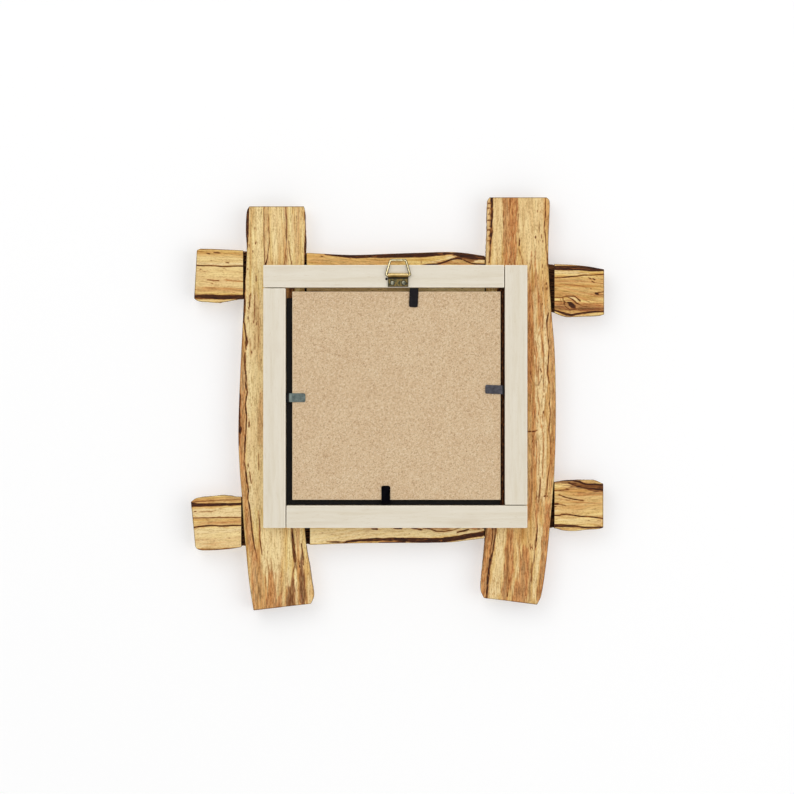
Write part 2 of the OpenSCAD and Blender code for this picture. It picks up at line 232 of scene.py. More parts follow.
def ramp(tree, value, stops):
    # a colour for a value, blended between stops of (position, screen colour)
    made = addNode(tree, "ShaderNodeValToRGB", None, {0: value})
    band = made.color_ramp
    while len(band.elements) < len(stops):
        band.elements.new(1.0)
    for element, (place, rgb) in zip(band.elements, stops):
        element.position = place
        element.color = linear(rgb)
    return made.outputs[0]


def spread(tree, value, fromLow, fromHigh, toLow=0.0, toHigh=1.0, kind="LINEAR"):
    # a value moved from one range to another, and held inside it
    made = addNode(tree, "ShaderNodeMapRange", {"clamp": True, "interpolation_type": kind},
                   {0: value, 1: fromLow, 2: fromHigh, 3: toLow, 4: toHigh})
    return made.outputs[0]


def times(tree, a, b):
    return maths(tree, "MULTIPLY", a, b)


def plus(tree, a, b):
    return maths(tree, "ADD", a, b)


def swing(tree, value, share):
    # a value about 0.5 turned into one about nothing
    return times(tree, plus(tree, value, -0.5), share)


def noise(tree, vector, scale, detail, rough, seed=0.0, bend=0.0):
    # cloudy value about 0.5; a blotch is about one over scale long
    made = addNode(tree, "ShaderNodeTexNoise", {"noise_dimensions": "4D"},
                   {"Vector": vector, "W": seed, "Scale": scale, "Detail": detail,
                    "Roughness": rough, "Distortion": bend})
    return made.outputs[0]


def stretchedNoise(tree, vector, factors, detail, rough, seed, bend=0.0):
    # the same with a scale of its own along each axis
    return noise(tree, vectorMaths(tree, "MULTIPLY", vector, factors), 1.0, detail, rough, seed, bend)


def separated(tree, vector):
    # the three parts of a vector
    return addNode(tree, "ShaderNodeSeparateXYZ", None, {0: vector}).outputs


def objectPlace(tree):
    # Object coordinates in millimetres
    place = addNode(tree, "ShaderNodeTexCoord").outputs["Object"]
    return vectorMaths(tree, "MULTIPLY", place, (1 / mm, 1 / mm, 1 / mm))


def turned(tree, place, angle):
    # a pattern's place turned about the object's depth, angle in radians
    return addNode(tree, "ShaderNodeMapping", None,
                   {"Vector": place, "Rotation": (0.0, angle, 0.0)}).outputs[0]


def ownValue(tree, name, kind="Vector"):
    # what a piece's own attribute says
    return addNode(tree, "ShaderNodeAttribute", {"attribute_name": name}).outputs[kind]


def addSkin(tree, colour, rough, height, relief, more=None):
    # the surface itself; relief is the bump's strength and its depth in metres
    bump = addNode(tree, "ShaderNodeBump", None,
                   {"Strength": relief[0], "Distance": relief[1], "Height": height}).outputs[0]
    skin = addNode(tree, "ShaderNodeBsdfPrincipled", None,
                   {"Base Color": colour, "Roughness": rough, "Normal": bump, **(more or {})})
    addNode(tree, "ShaderNodeOutputMaterial", None, {0: skin.outputs[0]})


def makeGroup(name, takes, make):
    # a node group: takes are the inputs' values at first, None for a vector, and make gives
    # what comes out by name
    group = bpy.data.node_groups.new(name, "ShaderNodeTree")
    for socketName, value in takes.items():
        kind = "NodeSocketVector" if value is None else "NodeSocketFloat"
        socket = group.interface.new_socket(socketName, in_out="INPUT", socket_type=kind)
        if value is not None:
            socket.default_value = value
    results = make(group, group.nodes.new("NodeGroupInput").outputs)
    for socketName in results:
        group.interface.new_socket(socketName, in_out="OUTPUT", socket_type="NodeSocketFloat")
    outside = group.nodes.new("NodeGroupOutput").inputs
    for socketName, value in results.items():
        group.links.new(value, outside[socketName])
    return group


def placed(tree, group, inputs):
    # a node group put into a material with its own values
    return addNode(tree, "ShaderNodeGroup", {"node_tree": group}, inputs).outputs


grainShape = {
    # scale along, across and through the wood, detail, roughness
    "patches": ((0.03, 0.11, 0.11), 2.0, 0.5),
    "streaks": ((0.02, 0.42, 0.35), 4.0, 0.62),
    "fibres": ((0.13, 1.3, 1.2), 4.0, 0.72),
    "pores": ((0.3, 2.2, 2.2), 1.0, 0.5),
    "streakBend": 0.2,
    "fibreBend": 0.15,
    "flecks": (0.665, 0.74),
    "yearPitch": 3.4,  # radians for a millimetre across the grain
    "yearBend": (26.0, 22.0),  # by the streaks and by the patches
    "yearTorn": 2.0,
    "years": (0.35, 1.1),
    "heights": (0.8, -0.4),  # of the fibres and of the flecks
}


def woodNodes(group, take):
    # grain along the first axis of Vector, given in millimetres
    g = grainShape
    seed = take["Seed"]
    patches = stretchedNoise(group, take["Vector"], *g["patches"], seed)
    sway = swing(group, patches, take["Swirl"])
    offset = addNode(group, "ShaderNodeCombineXYZ", None, {1: sway, 2: sway}).outputs[0]
    curved = vectorMaths(group, "ADD", take["Vector"], offset)
    streaks = stretchedNoise(group, curved, *g["streaks"], seed, g["streakBend"])
    fibres = stretchedNoise(group, curved, *g["fibres"], seed, g["fibreBend"])
    flecks = spread(group, stretchedNoise(group, curved, *g["pores"], seed), *g["flecks"])
    # yearly lines: a sine across the grain, bent by the patches and the streaks
    bend = plus(group, times(group, streaks, g["yearBend"][0]), times(group, patches, g["yearBend"][1]))
    phase = plus(group, times(group, separated(group, curved)[1], g["yearPitch"]), bend)
    torn = plus(group, maths(group, "SINE", phase), swing(group, fibres, g["yearTorn"]))
    high = plus(group, times(group, fibres, g["heights"][0]), times(group, flecks, g["heights"][1]))
    return {"Patches": patches, "Streaks": streaks, "Fibres": fibres, "Flecks": flecks,
            "Years": spread(group, torn, *g["years"]), "Height": high}


arrisWander = (0.35, 3.0, 0.6)  # scale, detail and roughness


def arrisNodes(group, take):
    # one near the edges of a box: the second smallest distance to its faces, less Width
    size = vectorMaths(group, "ABSOLUTE", vectorMaths(group, "SUBTRACT", take["Vector"], take["Middle"]))
    a, b, c = separated(group, vectorMaths(group, "SUBTRACT", take["Half"], size))
    least = maths(group, "MINIMUM", a, b)
    most = maths(group, "MAXIMUM", a, b)
    second = maths(group, "MAXIMUM", least, maths(group, "MINIMUM", most, c))
    uneven = noise(group, take["Vector"], *arrisWander)
    edge = plus(group, take["Width"], swing(group, uneven, take["Wander"]))
    return {"Mask": spread(group, second, 0.0, edge, 1.0, 0.0, "SMOOTHSTEP")}


tarnishShape = {
    "clouds": (4.0, 0.6),  # detail and roughness; their scale is one over Size
    "cloudBend": 0.6,
    "specks": (3.2, 2.0, 0.5),
    "scratches": ((6.0, 6.0, 0.4), 2.0, 0.6),
    "scratchBend": 0.4,
}


def tarnishNodes(group, take):
    # cloudy stains and fine scratches for the small metal pieces, Vector in millimetres
    t = tarnishShape
    place, seed = take["Vector"], take["Seed"]
    scale = maths(group, "DIVIDE", 1.0, take["Size"])
    return {"Clouds": noise(group, place, scale, *t["clouds"], seed, t["cloudBend"]),
            "Specks": noise(group, place, *t["specks"], seed),
            "Scratches": stretchedNoise(group, place, *t["scratches"], seed, t["scratchBend"])}


woodGrain = makeGroup("woodGrain", {"Vector": None, "Seed": 0.0, "Swirl": 2.0}, woodNodes)
boxArris = makeGroup("boxArris", {"Vector": None, "Middle": None, "Half": None, "Width": 0.5, "Wander": 0.3},
                     arrisNodes)
tarnish = makeGroup("tarnish", {"Vector": None, "Size": 2.5, "Seed": 0.0}, tarnishNodes)

plankLook = {
    "grain": [(0.32, (194, 140, 72)), (0.42, (220, 182, 108)), (0.50, (234, 204, 134)),
              (0.60, (243, 219, 154)), (0.72, (232, 192, 112))],
    "swirl": 3.0,
    "patch": (214, 156, 86),  # broad warmer patches
    "patches": (0.48, 0.66, 0.0, 0.5),
    "year": (176, 114, 52),
    "years": 0.3,
    "cream": (240, 217, 165),
    "rust": [(0.36, (140, 81, 43)), (0.5, (188, 121, 68)), (0.62, (218, 160, 98))],
    "plum": [(0.36, (76, 36, 20)), (0.5, (122, 66, 38)), (0.64, (166, 102, 60))],
    "keep": (0.3, 0.5, 0.75, 1.0),  # fibres that show through the painted tones
    "grit": ((0.75, 1.1, 1.1), 2.0, 0.6),
    "gritShare": 0.5,
    "fine": (0.35, 0.54),
    "fineLow": (0.5, 0.34, 0.18),  # dark fibres are browner: blue falls faster than red
    "fineHigh": 1.12,
    "fleck": (172, 112, 74),
    "border": (206, 158, 124),  # a dark line's soft border
    "borders": (0.02, 0.4),
    "bark": [(0.36, (26, 12, 7)), (0.64, (80, 42, 22))],
    "barkTorn": 0.4,
    "barks": (0.1, 0.68),
    "barkSteep": 3.0,
    # darker end grain on the ends, and painted shade on the walls and floors of the half laps
    "sawn": [(0.38, (30, 17, 11)), (0.5, (74, 44, 26)), (0.62, (140, 94, 56))],
    "rim": (74, 42, 22),
    "rims": 0.85,
    "sawnRough": 0.5,
    "rough": (0.3, 0.8, 0.46, 0.78),
    "sink": -0.6,  # of the dark lines
    "relief": (0.5, 0.00022),
    "gloss": 0.12,
}


def plankWood(name, v, tint, seed, fibre):
    # tint scales the plain wood's colours; the painted figure comes from the plank's own
    # attributes, the grain from its own place in it
    made, tree = newMaterial(name)
    place = ownValue(tree, "grain")
    dark, rust, plum = separated(tree, ownValue(tree, "figure"))
    pale, sawn, rim = separated(tree, ownValue(tree, "edges"))
    grain = placed(tree, woodGrain, {"Vector": place, "Seed": seed, "Swirl": v["swirl"]})
    fibres = grain["Fibres"]
    stops = [(at, tuple(min(255.0, c * k) for c, k in zip(shade, tint))) for at, shade in v["grain"]]
    colour = ramp(tree, grain["Streaks"], stops)
    colour = mixed(tree, spread(tree, grain["Patches"], *v["patches"]), colour, linear(v["patch"]))
    colour = mixed(tree, times(tree, grain["Years"], v["years"]), colour, linear(v["year"]))
    keep = spread(tree, fibres, *v["keep"])
    for amount, over in ((pale, linear(v["cream"])), (rust, ramp(tree, fibres, v["rust"])),
                         (plum, ramp(tree, fibres, v["plum"]))):
        colour = mixed(tree, times(tree, amount, keep), colour, over)
    grit = stretchedNoise(tree, place, *v["grit"], seed + 1.0)
    broken = plus(tree, fibres, swing(tree, grit, v["gritShare"]))
    fine = {k: spread(tree, broken, *v["fine"], low, v["fineHigh"]) for k, low in enumerate(v["fineLow"])}
    fineColour = addNode(tree, "ShaderNodeCombineXYZ", None, fine).outputs[0]
    colour = mixed(tree, fibre, colour, fineColour, "MULTIPLY")
    colour = mixed(tree, grain["Flecks"], colour, linear(v["fleck"]), "MULTIPLY")
    colour = mixed(tree, spread(tree, dark, *v["borders"]), colour, linear(v["border"]), "MULTIPLY")
    bark = spread(tree, plus(tree, dark, swing(tree, fibres, v["barkTorn"])), *v["barks"])
    bark = maths(tree, "MINIMUM", bark, times(tree, dark, v["barkSteep"]))
    colour = mixed(tree, bark, colour, ramp(tree, fibres, v["bark"]))
    # darker end grain, and painted shade on the walls and floors of the half laps
    colour = mixed(tree, sawn, colour, ramp(tree, fibres, v["sawn"]))
    colour = mixed(tree, times(tree, rim, v["rims"]), colour, linear(v["rim"]))
    rough = spread(tree, plus(tree, fibres, times(tree, sawn, v["sawnRough"])), *v["rough"])
    height = plus(tree, grain["Height"], times(tree, dark, v["sink"]))
    addSkin(tree, colour, rough, height, v["relief"], {"Specular IOR Level": v["gloss"]})
    return made


stripLook = {
    "grain": [(0.3, (220, 209, 186)), (0.5, (227, 218, 199)), (0.7, (231, 223, 206))],
    "swirl": 3.0,
    "fibre": (196, 174, 136),
    "fibres": (0.56, 0.72, 0.0, 0.3),
    "flecks": 0.25,
    "grimeAndShade": (176, 146, 104),
    "patches": (0.6, 0.75, 0.0, 0.12),
    "arris": (246, 238, 220),  # painted highlight along the edges
    "arrisSize": (0.9, 1.2, 0.8),  # width, how far it wanders, strength
    # painted shade in the awl hole, reaching just past its rim
    "hole": (26, 18, 12),
    "holeSoft": 0.1,
    "rough": (0.3, 0.7, 0.55, 0.72),
    "relief": (0.4, 0.00018),
}


def paintedEdgeHighlight(tree, place, middle, half, size, colour, over):
    # a painted highlight: over laid along a box's edges; size is their width, how far it wanders and the
    # strength
    inputs = {"Vector": place, "Middle": middle, "Half": half, "Width": size[0], "Wander": size[1]}
    return mixed(tree, times(tree, placed(tree, boxArris, inputs)["Mask"], size[2]), colour, linear(over))


def stripWood(name, v, middle, half, alongX, seed, hole):
    # pale softwood: long faint grain, and arrises lightened by a painted highlight. The empty awl hole is
    # painted dark as shade, reaching just past its rim; it is given by its place across and up, and its reach
    made, tree = newMaterial(name)
    place = objectPlace(tree)
    lain = place if alongX else turned(tree, place, math.pi / 2)
    grain = placed(tree, woodGrain, {"Vector": lain, "Seed": seed, "Swirl": v["swirl"]})
    colour = ramp(tree, grain["Streaks"], v["grain"])
    colour = mixed(tree, spread(tree, grain["Fibres"], *v["fibres"]), colour, linear(v["fibre"]))
    colour = mixed(tree, times(tree, grain["Flecks"], v["flecks"]), colour, linear(v["fibre"]))
    colour = mixed(tree, spread(tree, grain["Patches"], *v["patches"]), colour, linear(v["grimeAndShade"]))
    colour = paintedEdgeHighlight(tree, place, middle, half, v["arrisSize"], colour, v["arris"])
    # the awl hole painted dark: painted shade inside it and just past its rim
    if hole:
        fromHole = vectorMaths(tree, "SUBTRACT", place, (hole[0], 0.0, hole[1]))
        reach = vectorMaths(tree, "LENGTH", vectorMaths(tree, "MULTIPLY", fromHole, (1.0, 0.0, 1.0)))
        inside = spread(tree, reach, hole[2] + v["holeSoft"], hole[2])
        colour = mixed(tree, inside, colour, linear(v["hole"]))
    addSkin(tree, colour, spread(tree, grain["Fibres"], *v["rough"]), grain["Height"], v["relief"])
    return made


boardLook = {
    "face": [(0.3, (208, 177, 137)), (0.5, (214, 185, 146)), (0.7, (219, 192, 154))],
    "clouds": (0.09, 4.0, 0.6, 3.0),
    "layers": [(0.4, 1.0), (1.5, 2.0), (2.6, 5.0)],  # how the threads lie, and their seed
    "threads": ((0.55, 1.1, 1.5), 2.0, 0.6),
    "threadBend": 0.8,
    "fibre": (166, 128, 88),
    "fibres": (0.56, 0.67, 0.0, 0.6),
    "light": (230, 210, 178),
    "lights": (0.44, 0.33, 0.0, 0.6),
    "speck": (128, 90, 58),
    "specks": (0.59, 0.68, 0.0, 0.9),
    "speckSize": (1.5, 2.0, 0.6, 8.0),
    # the cut colour is a painted highlight along the board's edges
    "cut": (222, 200, 166),
    "edgeHighlightSize": (0.7, 0.6, 0.75),
    "rough": (0.3, 0.7, 0.6, 0.78),
    "relief": (0.35, 0.00015),
}


def hardboard(name, v, middle, half):
    # pressed fibre: cloudy tan, short dark and light fibres lying every way, and a painted highlight along
    # its edges
    made, tree = newMaterial(name)
    place = objectPlace(tree)
    clouds = noise(tree, place, *v["clouds"])
    colour = ramp(tree, clouds, v["face"])
    for angle, seed in v["layers"]:
        threads = stretchedNoise(tree, turned(tree, place, angle), *v["threads"], seed, v["threadBend"])
        colour = mixed(tree, spread(tree, threads, *v["fibres"]), colour, linear(v["fibre"]))
        colour = mixed(tree, spread(tree, threads, *v["lights"]), colour, linear(v["light"]))
    specks = noise(tree, place, *v["speckSize"])
    colour = mixed(tree, spread(tree, specks, *v["specks"]), colour, linear(v["speck"]))
    colour = paintedEdgeHighlight(tree, place, middle, half, v["edgeHighlightSize"], colour, v["cut"])
    addSkin(tree, colour, spread(tree, clouds, *v["rough"]), specks, v["relief"])
    return made


stockGrain = {
    "clouds": (4.0, 0.6, 1.0),  # detail, roughness, seed
    "tooth": (2.6, 3.0, 0.6, 4.0),
    "grainy": (0.35, 0.65, 0.0, 0.25),
    "roughFrom": (0.3, 0.7),
}


def flatStock(name, v):
    # card and paper: faint clouds and a fine tooth
    made, tree = newMaterial(name)
    place = objectPlace(tree)
    clouds = noise(tree, place, v["scale"], *stockGrain["clouds"])
    tooth = noise(tree, place, *stockGrain["tooth"])
    grainy = spread(tree, tooth, *stockGrain["grainy"])
    colour = mixed(tree, grainy, ramp(tree, clouds, v["tones"]), linear(v["tones"][-1][1]))
    rough = spread(tree, tooth, *stockGrain["roughFrom"], *v["rough"])
    addSkin(tree, colour, rough, tooth, v["relief"], {"Specular IOR Level": v["gloss"]})
    return made


glassLook = {
    "tint": (0.96, 0.985, 0.975, 1.0),  # of the light let through
    "smears": ((0.02, 0.02, 0.09), 3.0, 0.6, 2.0, 0.8),
    "rough": (0.45, 0.8, 0.02, 0.16),
    "relief": (0.04, 0.0001),
    "clear": {"Transmission Weight": 1.0, "IOR": 1.5},
}


def paneGlass(name, v):
    # clear glass with faint wiping smears
    made, tree = newMaterial(name)
    smears = stretchedNoise(tree, objectPlace(tree), *v["smears"])
    addSkin(tree, v["tint"], spread(tree, smears, *v["rough"]), smears, v["relief"], v["clear"])
    return made


metalWear = {
    "spots": (0.58, 0.7, 0.0, 0.7),
    "grimeAndShadeTorn": 0.8,
    "grimeAndShade": (0.25, 0.75, 0.0, 0.92),
    "spotRough": 0.3,
    "roughFrom": (0.3, 0.8),
    "cloudHeight": 0.8,
    "relief": (0.3, 0.00006),
}


def wornMetal(name, v, paintedLightBands=()):
    # stained metal: clouds carry the colour, specks and scratches break the gloss. Bands are painted
    # light and shade, each (axis, where it is nothing, where it is full, tones) in the piece's own
    # millimetres
    made, tree = newMaterial(name)
    place = objectPlace(tree)
    worn = placed(tree, tarnish, {"Vector": place, "Size": v["size"], "Seed": v["seed"]})
    clouds = worn["Clouds"]
    spots = spread(tree, worn["Specks"], *metalWear["spots"])
    colour = mixed(tree, spots, ramp(tree, clouds, v["tones"]), linear(v["stain"]))
    for axis, start, full, bandTones in paintedLightBands:
        reach = spread(tree, separated(tree, place)[axis], start, full)
        colour = mixed(tree, reach, colour, ramp(tree, clouds, bandTones))
    if "grimeAndShade" in v:
        # grime and painted shade, read from the piece's own attribute: painted shade on the ring wire's
        # flanks and in the strap's crease, grime along the strap's sides and foot, and a darker ring round
        # each nail
        uneven = plus(tree, ownValue(tree, "grimeAndShade", "Fac"), swing(tree, clouds, metalWear["grimeAndShadeTorn"]))
        colour = mixed(tree, spread(tree, uneven, *metalWear["grimeAndShade"]), colour, linear(v["grimeAndShade"]))
    dull = plus(tree, worn["Scratches"], times(tree, spots, metalWear["spotRough"]))
    rough = spread(tree, dull, *metalWear["roughFrom"], *v["rough"])
    height = plus(tree, worn["Scratches"], times(tree, clouds, metalWear["cloudHeight"]))
    addSkin(tree, colour, rough, height, metalWear["relief"], {"Metallic": v["metal"]})
    return made


print("node groups are made")


def swells(place, seed, wave, count=7):
    # smooth wandering value from about -1 to 1: the mean of sine waves that run in seeded
    # directions with seeded phases, their lengths spread about "wave"
    rng = np.random.default_rng(seed)
    turn = rng.uniform(0, 2 * np.pi, (count, 3))
    size = 2 * np.pi / (np.array(wave) * rng.uniform(0.6, 1.7, (count, 1)))
    phase = sum(np.multiply.outer(place[..., k], size[:, k] * np.cos(turn[:, k])) for k in range(3))
    return np.sin(phase + turn[:, 0] * 3).sum(-1) / (0.45 * count)


def faded(value, start, reach):
    # nothing up to start, one from start + reach on, in a straight line between them
    return np.clip((value - start) / reach, 0, 1)


def vertexPlaces(mesh):
    # the places of a mesh's points, in its own millimetres
    co = np.empty(len(mesh.vertices) * 3, np.float32)
    mesh.vertices.foreach_get("co", co)
    return co.reshape(-1, 3).astype(float) / mm


meshing = {
    "merge": 1e-6,  # metres; points nearer than this become one
    "thin": 1e-7,  # metres; edges shorter than this are dissolved
    "sharp": 48,  # degrees
}


def meshPiece(name, points, faces, material, body, stands, grimeAndShade=None):
    # points in millimetres of the scene; doubles merged, so that collapsed rings and seams close
    mesh = bpy.data.meshes.new(name)
    mesh.from_pydata((np.asarray(points) * mm).tolist(), [], np.asarray(faces).tolist())
    # an attribute that carries grime and painted shade for the metal finishes
    if grimeAndShade is not None:
        layer = mesh.attributes.new("grimeAndShade", "FLOAT", "POINT")
        layer.data.foreach_set("value", np.asarray(grimeAndShade, np.float32).ravel())
    tidy = bmesh.new()
    tidy.from_mesh(mesh)
    bmesh.ops.remove_doubles(tidy, verts=tidy.verts, dist=meshing["merge"])
    bmesh.ops.dissolve_degenerate(tidy, edges=tidy.edges, dist=meshing["thin"])
    bmesh.ops.recalc_face_normals(tidy, faces=tidy.faces)
    tidy.to_mesh(mesh)
    tidy.free()
    mesh.shade_smooth()
    mesh.set_sharp_from_angle(angle=math.radians(meshing["sharp"]))
    mesh.materials.append(material)
    piece = addObject(name, mesh)
    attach(piece, body)
    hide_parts(*stands)
    return piece


def ringFaces(rings, around, closed=False):
    # quads between neighbouring rings of points; closed joins the last ring to the first
    i = np.arange(rings if closed else rings - 1)[:, None]
    j = np.arange(around)[None, :]
    nextRing = (i + 1) % rings
    nextPoint = (j + 1) % around
    return np.stack([i * around + j, nextRing * around + j,
                     nextRing * around + nextPoint, i * around + nextPoint], -1).reshape(-1, 4)


plankShape = {
    "thick": 14.0,
    "halfWidth": (15.5, 19.5),  # of a rail and of a post, for the crown
    "lap": 7.0,  # depth of the half laps
    "crownDrop": 3.0,
    "crownPast": 7.0,  # how far past the half width the crown's arc is followed
    "backArris": 0.6,  # rounding of the back edges
    "frontArris": 2.6,  # rounding of the front edges
    "endArris": 0.35,  # rounding of the sawn ends
    "endStations": (0.18, 0.5),  # stations in that rounding, as shares of it
    "heart": 6.5,  # depth on which the sawn ends close
    "caps": (0.8, 0.6, 0.4, 0.2, 0.0),  # shrunken rings that close an end
    "slantFade": 20.0,  # how far in a sawn end's slant is felt
    "onBack": 0.01,  # a CAD point this near to the back face lies in it
    "onFloor": 0.02,  # the same for a lap's floor
    "firstCut": 0.05,  # cross cuts that find the outline, and their pitch
    "cutStep": 0.5,
    "step": 0.75,  # between stations along the plank
    "lapStep": 0.12,  # beside each wall of a lap
    "across": (128, 64),  # points over the back and over the front
    "arrisPoints": 5,
    "wallPoints": 12,
    "bark": 0.7,  # how deep the sides wander inward
    "barkFrom": 1.2,  # depth at which that begins
    "barkFade": 3.0,
    "barkWaves": ((9.0, 40.0, 5.0), (2.4, 40.0, 2.0)),
    "barkFine": 0.25,
    "hollow": 0.16,  # depth of the faint hollows along the front
    "hollowFrom": 9.0,
    "hollowWaves": (26.0, 6.0, 60.0),
}


def plankFrame(p):
    # a plank's own axes: along it, across it, and depth from its back face towards the front
    slope = math.tan(math.radians(p["slope"]))

    def toPlank(points):
        x, y, z = (points - wellMiddle).T
        if p["upright"]:
            return np.stack([z, x * p["side"] - p["middle"], -y], -1)
        return np.stack([x, z - p["middle"] - x * slope, -y], -1)

    def toScene(own):
        along, across, depth = own.T
        if p["upright"]:
            local = np.stack([(across + p["middle"]) * p["side"], -depth, along], -1)
        else:
            local = np.stack([along, -depth, across + p["middle"] + along * slope], -1)
        return local + wellMiddle

    return toPlank, toScene


def nodePoints(name):
    # a CAD node's points, and its triangles as rows of three of them
    mesh = cad[name].data
    mesh.calc_loop_triangles()
    tri = np.empty(len(mesh.loop_triangles) * 3, np.int32)
    mesh.loop_triangles.foreach_get("vertices", tri)
    return vertexPlaces(mesh), tri.reshape(-1, 3)


def plankOutline(own, tri, s):
    # both long edges of the CAD plank as (along, across) lines, and where its half laps start
    # and stop: each edge joins the back face's corners and the widest points of cross cuts
    back = own[np.abs(own[:, 2]) < s["onBack"]]
    ends = []
    for sign in (-1.0, 1.0):
        side = back[back[:, 1] * sign > 0]
        ends += [side[side[:, 0].argmin()], side[side[:, 0].argmax()]]
    low = max(ends[0][0], ends[2][0])
    high = min(ends[1][0], ends[3][0])
    corners = [own[tri[:, k]] for k in range(3)]
    inner, outer = [], []
    for at in np.arange(low + s["firstCut"], high, s["cutStep"]):
        cut = []
        for a, b in ((0, 1), (1, 2), (2, 0)):
            da = corners[a][:, 0] - at
            db = corners[b][:, 0] - at
            hit = da * db < 0
            t = (da[hit] / (da[hit] - db[hit]))[:, None]
            cut.append(corners[a][hit, 1:2] * (1 - t) + corners[b][hit, 1:2] * t)
        cut = np.concatenate(cut)
        inner.append((at, cut.min()))
        outer.append((at, cut.max()))
    inner = np.array([ends[0][:2], *inner, ends[1][:2]])
    outer = np.array([ends[2][:2], *outer, ends[3][:2]])
    floor = own[np.abs(own[:, 2] - s["lap"]) < s["onFloor"]][:, 0]
    laps = [(part.min(), part.max()) for part in (floor[floor < 0], floor[floor > 0])]
    return inner, outer, laps


def plankSection(s, halfWidth, low, high):
    # cross section round the plank at every station, as (across, depth): flat back, rounded
    # arrises, upright sides and a front that falls from the crown to the edges in one arc
    crown = (halfWidth ** 2 + s["crownDrop"] ** 2) / (2 * s["crownDrop"])
    farthest = halfWidth + s["crownPast"]

    def front(across):
        return s["thick"] - crown + np.sqrt(crown ** 2 - np.clip(across, -farthest, farthest) ** 2)

    low, high = low[:, None], high[:, None]
    rb, rf = s["backArris"], s["frontArris"]
    turn = np.linspace(0, np.pi / 2, s["arrisPoints"] + 2)[None, 1:-1]
    backRow, frontRow, wall = (np.linspace(0, 1, n)[None, :] for n in (*s["across"], s["wallPoints"]))
    over = high - rf + (low - high + 2 * rf) * frontRow
    highTop, lowTop = front(high - rf), front(low + rf)
    parts = [
        (low + rb + (high - low - 2 * rb) * backRow, 0.0),
        (high - rb + rb * np.sin(turn), rb - rb * np.cos(turn)),
        (high, rb + (highTop - rf - rb) * wall),
        (high - rf + rf * np.cos(turn), highTop - rf + rf * np.sin(turn)),
        (over, front(over)),
        (low + rf - rf * np.sin(turn), lowTop - rf + rf * np.cos(turn)),
        (low, rb + (lowTop - rf - rb) * wall[:, ::-1]),
        (low + rb - rb * np.cos(turn), rb - rb * np.sin(turn)),
    ]
    parts = [np.broadcast_arrays(across, depth) for across, depth in parts]
    return [np.concatenate(values, 1) for values in zip(*parts)]


def plankStations(s, stops):
    # places along the plank and which of them lie in a lap. More stand close to the sawn ends,
    # for their rounding, and beside each wall of a lap, to keep the wall's painted shade off the face
    rounding = np.array(s["endStations"]) * s["endArris"]
    beside = np.array([s["lapStep"]])
    last = len(stops) - 2
    runs, cut = [], []
    for k, (a, b) in enumerate(zip(stops[:-1], stops[1:])):
        run = np.linspace(a, b, int((b - a) / s["step"]) + 2)
        if k % 2 == 0:
            more = (a + (rounding if k == 0 else beside), b - (rounding if k == last else beside))
            run = np.sort(np.concatenate([run, *more]))
        runs.append(run)
        cut.append(np.full(len(run), k % 2 == 1))
    return np.concatenate(runs), np.concatenate(cut)


def plankSurface(p, s):
    # stations along the plank times points round its section. A sawn end's slant moves a
    # point along by how far across it lies, fading inward; rings shrink to close the ends
    toPlank, toScene = plankFrame(p)
    points, tri = nodePoints(p["node"])
    inner, outer, laps = plankOutline(toPlank(points), tri, s)
    low = (inner[0, 0] + outer[0, 0]) / 2
    high = (inner[-1, 0] + outer[-1, 0]) / 2
    station, lapped = plankStations(s, [low, *laps[0], *laps[1], high])
    lowEdge = np.interp(station, *inner.T)
    highEdge = np.interp(station, *outer.T)
    across, depth = plankSection(s, s["halfWidth"][p["upright"]], lowEdge, highEdge)
    # the half laps: a post loses its front there, a rail its back
    held = np.maximum(depth, s["lap"]) if p["lapAtBack"] else np.minimum(depth, s["lap"])
    depth = np.where(lapped[:, None], held, depth)
    q = (across - lowEdge[:, None]) / (highEdge - lowEdge)[:, None]
    fadeLow = np.clip(1 - (station - low) / s["slantFade"], 0, 1)[:, None]
    fadeHigh = np.clip(1 - (high - station) / s["slantFade"], 0, 1)[:, None]
    along = station[:, None] + fadeLow * (q - 0.5) * (outer[0, 0] - inner[0, 0])
    along = along + fadeHigh * (q - 0.5) * (outer[-1, 0] - inner[-1, 0])
    # the edges where the slanted stations really meet them
    lowEdge = np.interp(along, *inner.T)
    highEdge = np.interp(along, *outer.T)
    across = lowEdge + q * (highEdge - lowEdge)
    # rounded sawn ends
    toEnd = np.minimum(station - low, high - station)[:, None]
    shrink = np.clip(1 - toEnd / s["endArris"], 0, 1)
    inset = s["endArris"] * (1 - np.sqrt(1 - shrink ** 2))
    middle = (lowEdge + highEdge) / 2
    across = across + np.sign(middle - across) * np.minimum(inset, np.abs(across - middle))
    depth = depth + np.sign(s["heart"] - depth) * inset
    # bark: the sides wander inward between the back arris and the front
    own = np.stack([along, across, depth], -1)
    side = np.clip(1 - (1 - np.abs(q - 0.5) * 2) * (highEdge - lowEdge) / s["barkFade"], 0, 1)
    broad, fine = (swells(own, p["seed"] + k, wave) for k, wave in enumerate(s["barkWaves"]))
    wander = np.clip(0.5 + 0.5 * broad + s["barkFine"] * fine, 0, 1.3)
    pull = s["bark"] * wander * side * faded(depth, s["barkFrom"], s["barkFade"])
    own[..., 1] += np.sign(middle - across) * pull
    hollow = np.clip(1 + swells(own, p["seed"] + 2, s["hollowWaves"]), 0, 2)
    own[..., 2] -= s["hollow"] * hollow * faded(depth, s["hollowFrom"], s["barkFade"])
    # end faces: the last ring scaled towards its own middle line
    scales = np.array(s["caps"])[:, None, None]
    caps = []
    for ring in (own[0], own[-1]):
        heart = np.array([ring[:, 0].mean(), ring[:, 1].mean(), s["heart"]])
        caps.append(heart + (ring - heart)[None] * scales)
    own = np.concatenate([caps[0][::-1], own, caps[1]])
    return own.reshape(-1, 3), ringFaces(*own.shape[:2]), laps, toPlank, toScene, inner, outer


